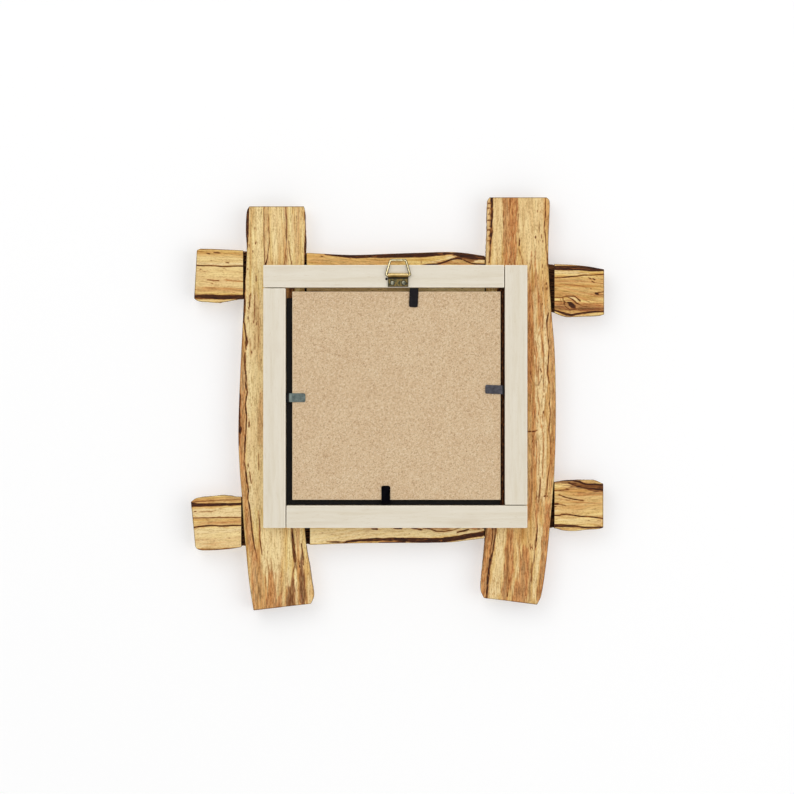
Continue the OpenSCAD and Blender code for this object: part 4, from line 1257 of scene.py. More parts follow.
    ("dark", 0.85, 0.45, [(-21.7, 4.6, 0.75), (-21.3, 9, 0.75), (-20.8, 11.4, 0.6)]),
    ("dark", 0.5, 0.35, [(-24, 8.5, 0.5), (-26, 9.1, 0.5), (-28, 8.4, 0.5), (-31, 9, 0.5)]),
    ("rust", 0.8, 0.5, [(-22, 15, 0.7), (-34, 15.2, 0.9), (-42, 15, 0.8), (-50, 14.6, 0.6)]),
    ("dark", 0.4, 0.35, [(-30, 15.1, 0.4), (-36, 15.2, 0.5), (-44, 14.9, 0.4)]),
    ("dark", 0.65, 0.4, [(-4, 19, 0.5), (-5.4, 19, 0.9), (-10, 19.7, 0.3), (-20, 18.5, 0.8), (-24, 19.3, 0.5),
     (-30, 19.7, 0.4), (-35, 19.8, 0.4)], [(-38, 19.6, 0.4), (-40, 19.5, 0.4), (-45, 18.8, 0.4),
     (-50, 18, 0.6), (-52, 17.7, 1), (-58, 17.5, 0.4), (-61, 17, 0.8), (-65, 17.3, 0.4)]),
    ("dark", 0.8, 0.35, [(-60.8, 15.8, 0.6), (-61.2, 18.2, 0.6)]),
    ("dark", 0.55, 0.4, [(-50, 13.3, 0.7), (-58, 13, 0.8), (-65, 12.3, 0.7)]),
    # foot, broad tints
    ("rust", 0.95, 0.8, [(-65, 18.6, 3), (-80, 17, 4), (-95, 15.6, 4.4), (-107, 15, 5), (-125, 12.8, 4.6)]),
    ("pale", 0.75, 1, [(-80, 13.5, 2.6), (-95, 13, 2.2), (-100, 12, 2), (-112, 10.2, 2), (-124, 9, 1.8)]),
    ("rust", 0.95, 0.9, [(-82, -4.8, 4.2), (-95, -5.5, 4.8), (-105, -5.7, 5.8), (-113, -6.7, 5.8),
     (-125, -9, 4)]),
    ("pale", 0.75, 1.2, [(-80, -10, 5), (-95, -11.2, 5), (-105, -12.2, 5), (-113, -13.7, 5.6),
     (-125, -15.3, 5.6)]),
    ("pale", 0.6, 1, [(-88, -1, 1), (-100, 0, 1.2), (-110, -1.5, 1.2), (-119, -4, 0.8)]),
    ("rust", 0.85, 1.5, [(-94, 4, 5), (-110, 3.4, 7), (-122, 1, 9), (-127, 0, 9)]),
    ("plum", 0.35, 1.5, [(-100, 3, 2), (-122, 3, 3)]),
    ("rust", 0.95, 0.8, [(-79, -17.6, 4.6), (-100, -19.6, 4.6), (-125, -22.4, 4.6)]),
    ("plum", 0.8, 0.8, [(-79, -19.6, 1.6), (-92, -20.6, 1.2), (-104, -21.8, 0.5)]),
    # foot, lines
    ("rust", 0.9, 0.6, [(-62, 11.2, 1.6), (-70, 11.4, 2.1), (-79, 11.4, 1.8)]),
    ("dark", 0.8, 0.4, [(-78, 11.6, 0.5), (-80, 11.7, 0.7), (-88, 11, 0.8), (-93, 10.5, 0.6)]),
    ("plum", 0.75, 0.6, [(-93, 10.4, 0.8), (-97, 9.8, 1.2), (-105, 8.5, 1.2), (-110, 7.8, 1.1)],
     [(-110, 7.8, 1.1), (-117, 7, 1.1), (-125, 6.8, 1.1)]),
    ("plum", 0.9, 0.6, [(-79, -14.4, 2), (-90, -15.6, 2.2), (-100, -17.2, 2), (-112, -18.7, 1.8),
     (-125, -19.9, 1.6)]),
    ("dark", 0.9, 0.4, [(-79, -13.8, 0.7), (-84, -14.1, 0.7), (-90, -15, 0.7), (-95, -15.6, 0.8),
     (-100, -16.9, 1.2)]),
    ("dark", 0.8, 0.4, [(-79, -15.6, 0.6), (-86, -16, 0.6), (-92, -16.8, 0.6), (-100, -17.4, 0.6)]),
    ("dark", 0.95, 0.45, [(-100, -17, 1.3), (-105, -17.9, 1.1), (-110, -18.5, 1.2), (-115, -19, 1),
     (-125, -19.9, 1)]),
    ("dark", 0.4, 0.4, [(-82, -3.7, 0.4), (-90, -3.7, 0.4)]),
    ("plum", 0.6, 0.8, [(-84, -5.6, 0.4), (-96, -6.4, 1.6), (-108, -6.8, 2.2), (-122, -9, 2)]),
    ("rust", 0.7, 0.8, [(-86, 6.4, 0.4), (-98, 6, 1.4), (-110, 5.2, 1.8), (-124, 4.4, 1.6)]),
    ("rust", 0.7, 0.6, [(-82, 0.8, 0.4), (-92, 0.6, 0.8), (-104, 0.2, 0.6)]),
    ("plum", 0.5, 0.7, [(-88, 15.8, 0.5), (-100, 14.8, 1.2), (-116, 13, 1.2), (-124, 12.4, 0.8)]),
    ("dark", 0.65, 0.4, [(-117, -6, 0.4), (-122, -6.8, 0.8)]),
    ("dark", 0.65, 0.3, [(-90, 7.5, 0.4), (-94, 7.5, 0.4)], [(-90.5, 8.6, 0.4), (-93.5, 8.6, 0.4)],
     [(-92, 7.5, 0.4), (-92.2, 8.6, 0.4)]),
    ("rust", 1, 0.5, [(-93, 10.7, 0.9), (-94, 10.7, 0.9)]),
]
topRail = {
    "name": "top_rail_wood", "node": "top_rail", "slot": "rail_wood", "upright": False, "side": 1,
    "middle": 70.9, "slope": 2.25, "lapAtBack": True, "seed": 47, "tint": (1.0, 0.985, 0.92), "beaded": 0.12,
    "fibre": 0.46,
}
topRail["figure"] = [
    # photo left stub
    ("pale", 0.45, 3, [(123, 0, 22), (94, 0, 22)]),
    ("pale", 0.7, 1, [(123, 5.7, 1.4), (94, 6.3, 1.6)]),
    ("rust", 0.55, 2, [(123, -9.8, 3), (94, -9.8, 3)]),
    ("rust", 0.4, 2, [(122, 12, 3), (96, 12, 3)]),
    ("pale", 0.6, 0.8, [(123, -16.6, 0.8), (94, -16.2, 1)]),
    ("dark", 0.6, 0.4, [(122, 14.6, 0.4), (94, 15, 0.5)]),
    ("dark", 0.75, 0.35, [(115, 12, 0.5), (113.6, 12, 0.5)]),
    ("dark", 0.9, 0.35, [(110.8, 12.7, 0.4), (109, 12.7, 0.7), (107.3, 12.7, 0.4)]),
    ("dark", 0.75, 0.35, [(103.4, 6.8, 0.4), (102, 6.8, 0.5)]),
    ("dark", 0.85, 0.35, [(121.5, 4.6, 0.6), (105, 4.6, 0.6), (94, 5.2, 0.6)]),
    ("dark", 0.6, 0.4, [(115, -4.2, 0.5), (108, -4.2, 0.6)]),
    ("rust", 0.9, 0.45, [(104, -3.6, 0.7), (99, -4.3, 0.8), (94, -4.1, 0.8)]),
    ("dark", 0.6, 0.3, [(112.5, -6.1, 0.4), (111.5, -6.1, 0.4)]),
    ("rust", 0.7, 0.4, [(117, -8.7, 0.5), (110, -8.7, 0.5)], [(105, -8.8, 0.5), (94, -8.8, 0.5)]),
    ("plum", 0.9, 0.7, [(124, -14.4, 2.8), (110, -14.2, 2.8), (100, -14, 2.8), (92, -13.6, 2.8)]),
    ("dark", 0.9, 0.6, [(124, -14.5, 1.9), (110, -14.3, 2), (100, -14.1, 2.1), (92, -13.7, 2)]),
    # ledge above the glass: pale and rust wood, and dark lines along the board's top edge that are painted
    # shade
    ("pale", 0.8, 1, [(66, -8, 5), (-66, -3, 5)]),
    ("rust", 0.25, 1, [(66, -8, 5), (20, -6, 5), (-20, -5, 2)]),
    ("dark", 0.9, 0.6, [(66, -9.9, 1.3), (-10, -7.1, 1.1)]),
    ("dark", 0.6, 0.6, [(-10, -6.9, 1), (-66, -4.6, 0.8)]),
    # between the posts
    ("rust", 0.45, 2.5, [(50, 10, 5), (20, 10, 4), (0, 12, 3)]),
    ("pale", 0.6, 0.8, [(42, 15.6, 0.8), (20, 16.4, 0.8), (-5, 17.6, 0.8)]),
    ("dark", 0.85, 0.35, [(45.6, 13.2, 0.5), (44.4, 13.2, 0.5)]),
    ("dark", 0.95, 0.5, [(43, 14.3, 0.4), (38, 14, 1.1), (30, 13.8, 1.4), (20, 14.2, 1.8), (10, 14.8, 2)],
     [(10, 14.8, 2), (0, 15.3, 2.1), (-10, 15.9, 2.2), (-20, 16.7, 2.1), (-30, 17.4, 1.6)], [(-30, 17.6, 1.3),
     (-35, 18, 1), (-40, 17.6, 2.4), (-45, 16.7, 3.1), (-50, 16.5, 2.1), (-55, 15.9, 1.9)]),
    ("dark", 0.8, 0.7, [(-36.5, 16.8, 2), (-41, 16.2, 3.4), (-46, 15.2, 3.2), (-50, 15.2, 1.5)]),
    ("rust", 0.85, 1, [(-28, 12, 1.5), (-37, 12.5, 2.6), (-45, 11.6, 2)]),
    ("pale", 0.9, 0.5, [(-20, 11.2, 0.5), (-25, 12.2, 1.2), (-30, 14.2, 1.8), (-35, 16, 1.6),
     (-38.5, 16, 1)]),
    ("dark", 0.9, 0.4, [(-16, 9.9, 0.5), (-20, 10.5, 0.8), (-25, 11.2, 0.9), (-30, 12.6, 1), (-35, 14.5, 1),
     (-38, 15, 1), (-41, 14.7, 0.8)]),
    ("plum", 0.75, 0.8, [(-41, 14.5, 1.4), (-44, 14.4, 2.2), (-48, 13.4, 1.6)]),
    ("plum", 0.95, 0.4, [(-41, 14.7, 0.8), (-43, 13.7, 0.9), (-46, 12.6, 0.9), (-50, 12, 0.9),
     (-54.5, 12.1, 0.9)]),
    ("dark", 0.8, 0.35, [(-42, 14.2, 0.5), (-46, 12.6, 0.8), (-50, 12, 0.9), (-54.5, 12.1, 0.9)]),
    ("pale", 0.9, 0.6, [(-49.5, 13.8, 1.8), (-54.5, 13.8, 2.2)]),
    ("pale", 0.7, 0.5, [(-48, 18.3, 0.8), (-55, 18, 1.2)]),
    ("dark", 0.35, 0.3, [(-15.7, 11, 0.5), (-16.3, 13.5, 0.4)]),
    # photo right stub
    ("pale", 0.7, 0.9, [(-97, 9.1, 2), (-108, 9.1, 2.2), (-116, 9.3, 1.6)]),
    ("rust", 0.75, 0.6, [(-97, 13.9, 0.8), (-108, 13.9, 0.8)]),
    ("rust", 0.4, 3, [(-98, 0, 14), (-127, 0, 14)]),
    ("rust", 1, 1, [(-98, -11.2, 4.8), (-112, -11.6, 5.4), (-128, -11.6, 5.4)]),
    ("plum", 0.85, 1, [(-98, -12.8, 1.6), (-110, -12.8, 2.6), (-128, -12.6, 3.2)]),
    ("rust", 0.9, 0.5, [(-98, 3.4, 0.6), (-112, 4.4, 0.9), (-127, 3, 0.6)], [(-100, 1.6, 0.4),
     (-108, 1.8, 0.7), (-117, 0.6, 0.5)], [(-98, -4.4, 0.4), (-104, -4.8, 0.7), (-112, -5.6, 0.7),
     (-119, -8.4, 0.5)]),
    ("plum", 0.6, 0.4, [(-99, -1.6, 0.3), (-106, -2.8, 0.6), (-114, -4.4, 0.4)]),
    ("rust", 0.8, 0.6, [(-98, 0.6, 0.6), (-108, -1.4, 0.9), (-118, -3.4, 0.8), (-127, -5, 0.6)]),
    ("rust", 0.7, 0.6, [(-98, -3, 0.5), (-106, -3.8, 0.8), (-115, -6.6, 0.7), (-127, -8, 0.6)]),
    ("pale", 0.75, 0.6, [(-97, -16.6, 1.4), (-103, -17.4, 0.9), (-116, -17, 1.2), (-127, -15.6, 1.4)]),
    ("plum", 0.95, 0.6, [(-96, 11.5, 2.8), (-108, 12, 3.2), (-118, 12.1, 3.2), (-128, 12.1, 2.6)]),
    ("dark", 0.92, 0.5, [(-96, 11.5, 2), (-108, 11.9, 2.4), (-118, 12, 2.3), (-128, 12, 2)]),
    ("rust", 0.5, 0.35, [(-107, 12, 0.3), (-111, 11.6, 0.6), (-115, 11.8, 0.4), (-119, 11.6, 0.3)]),
    ("pale", 0.8, 0.4, [(-97, 13.6, 0.7), (-104, 13.9, 0.5)]),
    ("dark", 0.75, 0.35, [(-98, 5.9, 0.5), (-104, 6.1, 0.6), (-110, 7, 0.6), (-115, 7.9, 0.6),
     (-120, 8.2, 0.6), (-127.5, 9, 0.6)]),
    ("dark", 0.85, 0.35, [(-118.4, 6.4, 0.5), (-119.8, 5.7, 0.7)], [(-120.8, 5.9, 0.6), (-122, 5.3, 0.8)]),
    ("dark", 0.8, 0.35, [(-120.4, 4.2, 0.5), (-121.6, 3.5, 0.6)]),
    ("dark", 0.6, 0.3, [(-119.4, 0, 0.5), (-120, 0, 0.5)]),
    ("rust", 1, 0.5, [(-121.6, -3, 1.4), (-124.4, -3, 1.4)]),
    ("dark", 0.9, 0.4, [(-122.7, -2.9, 1.2), (-123.8, -3.1, 1.2)]),
    ("dark", 0.7, 0.35, [(-123.6, -2.3, 0.5), (-127.4, -1.8, 0.5)]),
    ("dark", 0.6, 0.35, [(-123.8, -3.6, 0.4), (-127.4, -3.6, 0.5)]),
    ("plum", 0.8, 0.9, [(-104.8, -9.4, 2.4), (-110.4, -11.6, 3.4)]),
    ("rust", 0.9, 0.5, [(-104, -7.8, 0.9), (-108, -8, 1), (-111.4, -10, 0.9)]),
    ("dark", 1, 0.5, [(-105.8, -9.2, 0.9), (-107.2, -10.1, 2.1), (-108.8, -11.2, 2.2), (-109.8, -12.4, 1.2)]),
    ("dark", 0.8, 0.35, [(-103.4, -9, 0.5), (-103.8, -11.6, 0.6), (-107, -13.6, 0.6), (-111, -13.2, 0.5)]),
    ("dark", 0.6, 0.35, [(-111.6, -9.6, 0.5), (-114.6, -11, 0.5), (-119, -11.6, 0.4)]),
    ("plum", 0.8, 0.6, [(-108, -13, 1.2), (-108.4, -15.4, 0.8)]),
    ("plum", 0.75, 0.7, [(-112, -12, 1), (-120, -12.8, 1.4), (-127.5, -12.4, 1.6)]),
    ("plum", 0.6, 0.6, [(-98, -11.6, 0.8), (-103, -12.4, 1), (-107, -14.6, 0.8)]),
    ("pale", 0.9, 0.4, [(-106.6, -6.2, 0.8), (-109.8, -6.8, 1.1), (-111.6, -8.2, 0.8)]),
    ("dark", 0.75, 0.35, [(-98.5, -6.4, 0.4), (-102, -6.2, 0.5), (-105, -5.4, 0.7), (-109.6, -5.3, 0.7),
     (-111, -6.4, 0.6), (-113.2, -8, 0.8)]),
    ("dark", 0.8, 0.35, [(-105.8, -6.2, 0.4), (-108.4, -7.4, 0.6), (-111, -9.4, 0.6), (-112.4, -9.6, 0.4)]),
    ("dark", 0.6, 0.4, [(-102.4, -6.8, 0.7), (-103.2, -8.6, 0.6), (-104.6, -9.4, 0.4)]),
    ("plum", 0.85, 0.6, [(-98, -12.6, 1.4), (-101, -13.4, 1.2)]),
    ("rust", 1, 0.4, [(-101.2, -7.2, 0.9), (-101.4, -8.8, 0.9)]),
    ("dark", 0.5, 0.35, [(-98, -9, 0.5), (-102, -9, 0.4)]),
    ("dark", 0.9, 0.5, [(-97, -14.3, 0.9), (-101, -15.2, 1.1), (-105, -16.5, 1.2), (-108, -17, 1.2),
     (-111, -16.2, 1.1)], [(-111, -16.2, 1.1), (-115, -15.3, 1), (-120, -14.5, 1), (-127.5, -14, 0.9)]),
]
bottomRail = {
    "name": "bottom_rail_wood", "node": "bottom_rail", "slot": "rail_wood", "upright": False, "side": 1,
    "middle": -70.9, "slope": -3.0, "lapAtBack": True, "seed": 58, "tint": (1.005, 0.995, 0.96),
    "beaded": 0.12, "fibre": 0.46,
}
bottomRail["figure"] = [
    # photo left stub
    ("rust", 0.5, 1.5, [(125, 13.2, 3), (95, 13.2, 3)]),
    ("rust", 0.5, 2.5, [(118, -0.6, 3), (94, -0.6, 3.4)]),
    ("rust", 0.85, 0.6, [(115, -0.7, 0.7), (105, -0.7, 0.9), (95, -0.7, 0.9)]),
    ("pale", 0.7, 1.5, [(124, -5, 3), (95, -5.5, 3)]),
    ("pale", 0.55, 1.5, [(124, -10.5, 11), (95, -10.5, 11)]),
    ("pale", 0.8, 1.5, [(124, 5.5, 6), (95, 5, 6)]),
    ("rust", 0.35, 3, [(114.5, -13.5, 2), (105.5, -13.5, 2)]),
    ("pale", 0.75, 0.8, [(118.6, -6, 1.2), (118.4, -14, 1.4)], [(105.9, -9, 1.2), (105.7, -15, 1.4)]),
    ("plum", 0.85, 0.7, [(126, 11.4, 2.8), (120, 10.8, 2), (110, 10.5, 1.7), (100, 10.1, 1.7),
     (93, 9.9, 1.7)]),
    ("dark", 0.95, 0.5, [(126, 11.4, 2.2), (120, 10.8, 1.6), (110, 10.5, 1.3), (100, 10.1, 1.3),
     (93, 9.9, 1.2)]),
    ("dark", 0.5, 0.35, [(124, 13, 0.5), (96, 13, 0.5)]),
    ("dark", 0.35, 0.35, [(120, 6.8, 0.4), (113, 6.2, 0.5), (110, 7, 0.4)]),
    ("dark", 0.7, 0.3, [(123.2, 7.3, 0.5), (121.9, 7.3, 0.5)]),
    ("dark", 0.6, 0.35, [(124, 2.9, 0.5), (118, 3, 0.6), (114, 2.6, 0.6), (107, 2.3, 0.6), (95, 2, 0.6)]),
    ("dark", 0.9, 0.4, [(124, -2.7, 0.7), (120, -2.4, 0.8), (112, -2.3, 0.8), (105, -2.7, 0.8),
     (95, -3, 0.8)]),
    ("dark", 0.6, 0.4, [(124, -16.4, 0.5), (95, -16.8, 0.6)]),
    # between the posts
    ("pale", 0.95, 1.2, [(56, -12, 9), (10, -12, 9), (-20, -12.6, 7), (-52, -12.6, 6)]),
    ("rust", 0.6, 0.7, [(42, -17.2, 1), (30, -17.8, 1)]),
    ("dark", 0.85, 0.4, [(42, -15.6, 0.4), (38, -16.1, 0.8), (35, -16.3, 1), (33, -16.4, 0.4),
     (30, -16.5, 1)]),
    ("dark", 0.95, 0.5, [(30, -16.2, 0.9), (25, -16.2, 1.2), (15, -16.1, 1.4), (5, -16.3, 1.5),
     (0, -16.4, 1.6)]),
    ("rust", 0.8, 0.6, [(10, -17.6, 1.2), (0, -17.6, 1.4), (-8, -17.9, 1.6)]),
    ("dark", 0.85, 0.4, [(10, -17.9, 0.4), (0, -18.2, 0.6), (-6, -18.5, 0.8)]),
    ("dark", 0.95, 0.45, [(0, -16.5, 1.4), (-6, -17.1, 2), (-10, -17.5, 2.3), (-20, -18.2, 2.5),
     (-30, -18.6, 2.4)], [(-30, -18.4, 2.4), (-35, -18.2, 2.3), (-40, -17.5, 2.3), (-45, -16.8, 2.4),
     (-50, -16.2, 2.3), (-55, -15.8, 2.2)]),
    ("dark", 0.95, 0.35, [(14, -9.3, 0.7), (11, -9.5, 0.9)]),
    ("dark", 0.8, 0.35, [(0.5, -9.8, 0.6), (-4, -10, 0.7)], [(-10, -10.1, 0.7), (-16, -11.3, 0.9)]),
    ("rust", 0.85, 0.8, [(-17, -10, 0.6), (-24, -11, 1.8), (-31, -11.6, 2.6), (-37, -10.9, 1.4)]),
    ("dark", 0.65, 0.35, [(-17, -10.5, 0.6), (-22, -11.5, 0.7), (-25, -12.8, 0.7), (-30, -13.3, 0.8),
     (-35, -12.8, 0.7), (-38, -11.8, 0.6), (-40, -11.3, 0.5)]),
    ("dark", 0.95, 0.35, [(-38.3, -14.2, 0.9), (-41, -13.7, 0.9), (-44.5, -12.9, 0.8)]),
    ("rust", 0.85, 0.6, [(-45, -12.7, 1.3), (-53, -12.7, 1.3)]),
    ("dark", 0.8, 0.3, [(-50.6, -13, 0.5), (-51.4, -13, 0.5)], [(-53.6, -12.7, 0.5), (-54.4, -12.7, 0.5)]),
    ("pale", 0.95, 0.5, [(-37, -20, 1), (-44, -19.5, 1.8), (-55, -18.6, 2.4)]),
    # photo right stub
    ("pale", 0.2, 3, [(-98, -2, 14), (-127, -3, 14)]),
    ("rust", 0.3, 3, [(-98, 3, 12), (-127, 1, 14)]),
    ("rust", 0.5, 1.5, [(-112, 12.8, 2), (-126, 12.6, 2.4)]),
    ("rust", 0.6, 1.5, [(-97, 13, 1.5), (-107, 13, 1.6)]),
    ("plum", 1, 0.7, [(-99, 14, 1.2), (-105, 12.8, 2.6), (-111, 11, 3.8), (-118, 9.5, 5), (-127, 8, 6.2)]),
    ("dark", 0.6, 1, [(-106, 12.4, 1.2), (-113, 10.8, 2.4), (-120, 9.3, 3.4), (-127, 8.2, 4.2)]),
    ("rust", 0.85, 1, [(-112, 5.2, 1.8), (-127, 4.6, 2.2)]),
    ("rust", 0.8, 0.6, [(-100, 3, 0.6), (-112, 0.2, 0.8), (-126, -1, 0.6)]),
    ("plum", 0.4, 1, [(-116, 5, 1), (-127, 5, 1.4)]),
    ("rust", 0.45, 1.5, [(-103, 9, 2.5), (-108, 9, 2.5)]),
    ("pale", 0.7, 1, [(-96.5, -4.5, 1.4), (-99, -4.5, 1.4)]),
    ("pale", 0.45, 2, [(-100, -10, 3), (-127, -12.6, 3)]),
    ("rust", 0.7, 1, [(-97, -15.2, 1.6), (-110, -16.2, 1.4)]),
    ("dark", 0.95, 0.45, [(-97, 14, 0.9), (-103, 14.2, 1.1), (-109, 13.8, 1), (-113, 12.8, 1),
     (-116, 11.5, 1)], [(-116, 11.5, 1), (-120, 10.8, 1), (-127, 10.2, 1)]),
    ("dark", 0.75, 0.4, [(-106, 12.5, 0.6), (-111, 10.3, 0.8), (-116, 9, 0.8), (-122, 8, 0.8),
     (-127, 7, 0.8)]),
    ("dark", 0.55, 0.35, [(-98, 8.2, 0.5), (-106, 8.5, 0.5)]),
    ("dark", 0.7, 0.4, [(-100, 5.5, 0.6), (-104, 3.7, 0.7), (-110, 2.2, 0.7), (-115, 1.3, 0.7)]),
    ("dark", 0.5, 0.4, [(-104.5, 9.2, 0.6), (-105.5, 8.8, 0.6)]),
    ("dark", 1, 0.4, [(-97, 0, 1), (-99.5, -0.1, 0.9)]),
    ("dark", 0.6, 0.35, [(-99.5, -0.1, 0.6), (-104, -1.1, 0.4)]),
    ("dark", 0.8, 0.35, [(-97.4, -1.6, 0.5), (-98, -1.6, 0.5)]),
    ("dark", 0.75, 0.4, [(-97, -7, 0.7), (-100, -7.1, 0.8), (-102, -6.3, 0.8), (-105, -6.6, 0.8),
     (-110, -7.8, 0.8)], [(-110, -7.8, 0.8), (-113.5, -8.6, 0.8), (-117, -8.6, 0.8), (-122, -9.5, 0.8),
     (-127, -10.3, 0.8)]),
    ("plum", 0.85, 0.6, [(-97, -13.2, 2), (-103, -13.6, 1.8), (-110, -14.2, 1.6), (-116, -15.2, 1.2),
     (-127, -15.8, 1.2)]),
    ("dark", 0.9, 0.5, [(-97, -13.2, 1.5), (-103, -13.6, 1.3), (-110, -14.2, 1.1), (-116, -15.2, 0.8),
     (-127, -15.8, 0.8)]),
]
for plank in (leftPost, rightPost, topRail, bottomRail):
    wood = plankWood(plank["name"], plankLook, plank["tint"], float(plank["seed"]), plank["fibre"])
    makePlank(plank, plankShape, wood)


def nodeBox(name):
    # middle and half size of a CAD node's box
    low, high = (np.array(corner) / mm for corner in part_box(name))
    return (low + high) / 2, (high - low) / 2


arrises = {
    "flat": 0.01,  # radians; faces that meet flatter than this become one
    "onSide": 2e-3,  # a point this near to a side of the box lies in it
    "segments": 3,
    "sharp": 40,  # degrees
}


def softenedNode(name, pieceName, material, width, boxOnly, body="frame"):
    # a merged copy of a CAD node with small rounded arrises; boxOnly keeps them off slots and
    # holes, by bevelling only the edges that lie in two sides of the box
    mesh = cad[name].data.copy()
    mesh.name = pieceName
    tidy = bmesh.new()
    tidy.from_mesh(mesh)
    bmesh.ops.remove_doubles(tidy, verts=tidy.verts, dist=meshing["merge"])
    bmesh.ops.dissolve_limit(tidy, angle_limit=arrises["flat"], verts=tidy.verts, edges=tidy.edges)
    tidy.to_mesh(mesh)
    tidy.free()
    mesh.materials.clear()
    mesh.materials.append(material)
    piece = addObject(pieceName, mesh)
    bevel = piece.modifiers.new("arris", "BEVEL")
    bevel.width = width * mm
    bevel.segments = arrises["segments"]
    bevel.harden_normals = True
    if boxOnly:
        co = vertexPlaces(mesh)
        ends = np.empty(len(mesh.edges) * 2, np.int32)
        mesh.edges.foreach_get("vertices", ends)
        ends = ends.reshape(-1, 2)
        onSide = np.concatenate([co - co.min(0), co.max(0) - co], 1) < arrises["onSide"]
        shared = (onSide[ends[:, 0]] & onSide[ends[:, 1]]).sum(1) >= 2
        weight = mesh.attributes.new("bevel_weight_edge", "FLOAT", "EDGE")
        weight.data.foreach_set("value", shared.astype(np.float32))
        bevel.limit_method = "WEIGHT"
    else:
        bevel.limit_method = "ANGLE"
        bevel.angle_limit = math.radians(arrises["sharp"])
    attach(piece, body)
    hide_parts(name)


strips = {
    "arris": 0.45,
    "holes": {"strip_top": (7.05, -11.1, 0.75)},
    "level": ("strip_top", "strip_bottom"),
    "seeds": {"strip_top": 3.0, "strip_bottom": 7.0, "strip_left": 11.0, "strip_right": 16.0},
}
for node, seed in strips["seeds"].items():
    finish = stripWood(node + "_pine", stripLook, *nodeBox(node), node in strips["level"], seed,
                       strips["holes"].get(node))
    softenedNode(node, node + "_pine", finish, strips["arris"], True)
print("strips are in")

board = {"arris": 0.3}
finish = hardboard("hardboard", boardLook, *nodeBox("backing_board"))
softenedNode("backing_board", "back_hardboard", finish, board["arris"], True)


def dress(name, material):
    # a CAD node whose shape is right keeps its mesh and gets the finish
    mesh = cad[name].data
    mesh.materials.clear()
    mesh.materials.append(material)


matLook = {
    "tones": [(0.3, (12, 11, 10)), (0.7, (27, 25, 24))],
    "scale": 0.05,
    "relief": (0.3, 0.0001),
    "rough": (0.62, 0.85),
    "gloss": 0.15,
}
sheetLook = {
    "tones": [(0.3, (240, 236, 224)), (0.7, (246, 243, 233))],
    "scale": 0.04,
    "relief": (0.2, 0.0001),
    "rough": (0.7, 0.85),
    "gloss": 0.5,
}
dress("mat_board", flatStock("blackMat", matLook))
dress("picture_sheet", flatStock("blankSheet", sheetLook))
dress("glass_pane", paneGlass("paneGlass", glassLook))
print("board, mat, sheet and glass are in")

tabArris = 0.1
# painted shade at a tab's root
paintedRootShade = [(0.3, (8, 7, 8)), (0.7, (20, 18, 18))]
tabSteel = {"stain": (60, 56, 54), "size": 3.0, "metal": 0.85, "rough": (0.3, 0.55)}
# The tabs are one black steel: their different tones and stains are painted reflection, each tab lighter or
# darker by how much light it catches
tabLook = {
    # root is the axis along the blade and the side of its box that the root is on; a band is
    # how far from there it is nothing, how far it is full, and its tones. The bands are painted light:
    # shade at each root, where the strip's wall shades the blade, and on right_tab a highlight where it bends
    # up
    "top_tab": {
        "seed": 7.0, "root": (2, 1), "paintedLightBands": [(1.2, 0.3, paintedRootShade)],
        "tones": [(0.3, (12, 10, 12)), (0.7, (26, 23, 26))], "stain": (28, 25, 27),
    },
    "bottom_tab": {
        "seed": 10.0, "root": (2, -1), "paintedLightBands": [(1.2, 0.3, paintedRootShade)],
        "tones": [(0.3, (3, 3, 5)), (0.7, (12, 11, 15))], "stain": (8, 7, 10), "metal": 1.0,
    },
    "left_tab": {
        "seed": 8.0, "root": (0, -1), "paintedLightBands": [(1.6, 0.9, paintedRootShade)],
        "tones": [(0.34, (50, 50, 54)), (0.64, (78, 77, 84))],
    },
    "right_tab": {
        "seed": 9.0, "root": (0, 1),
        "paintedLightBands": [(3.8, 3.2, [(0.34, (84, 94, 90)), (0.64, (116, 126, 120))]), (2.2, 1.5, paintedRootShade)],
        "tones": [(0.34, (62, 71, 70)), (0.64, (103, 114, 109))],
    },
}
for node, look in tabLook.items():
    axis, side = look["root"]
    middle, half = nodeBox(node)
    root = middle[axis] + side * half[axis]
    paintedLightBands = [(axis, root - side * start, root - side * full, tones) for start, full, tones in look["paintedLightBands"]]
    steel = wornMetal(node + "_steel", {**tabSteel, **look}, paintedLightBands)
    softenedNode(node, node + "_blade", steel, tabArris, False, node)
tangSteel = {**tabSteel, "seed": 4.0, "tones": tabLook["top_tab"]["tones"], "stain": (60, 52, 46),
             "rough": (0.35, 0.6)}
dress("tab_tangs", wornMetal("tangSteel", tangSteel))
print("tabs are in")


def normalised(rows):
    # each row over its own length
    return rows / np.linalg.norm(rows, axis=1)[:, None]


def sweptSection(path, section, closed):
    # a flat section carried along a path in one plane: (a, b) of the section lie on the path's
    # sideways direction and on the plane's normal
    ahead = np.roll(path, -1, 0) - path if closed else np.gradient(path, axis=0)
    behind = path - np.roll(path, 1, 0) if closed else ahead
    tangent = normalised(normalised(ahead) + normalised(behind))
    sideways = np.stack([tangent[:, 1], -tangent[:, 0]], -1)
    flat = path[:, None, :] + section[None, :, 0:1] * sideways[:, None, :]
    lift = np.broadcast_to(section[None, :, 1], flat.shape[:2])
    return flat, lift


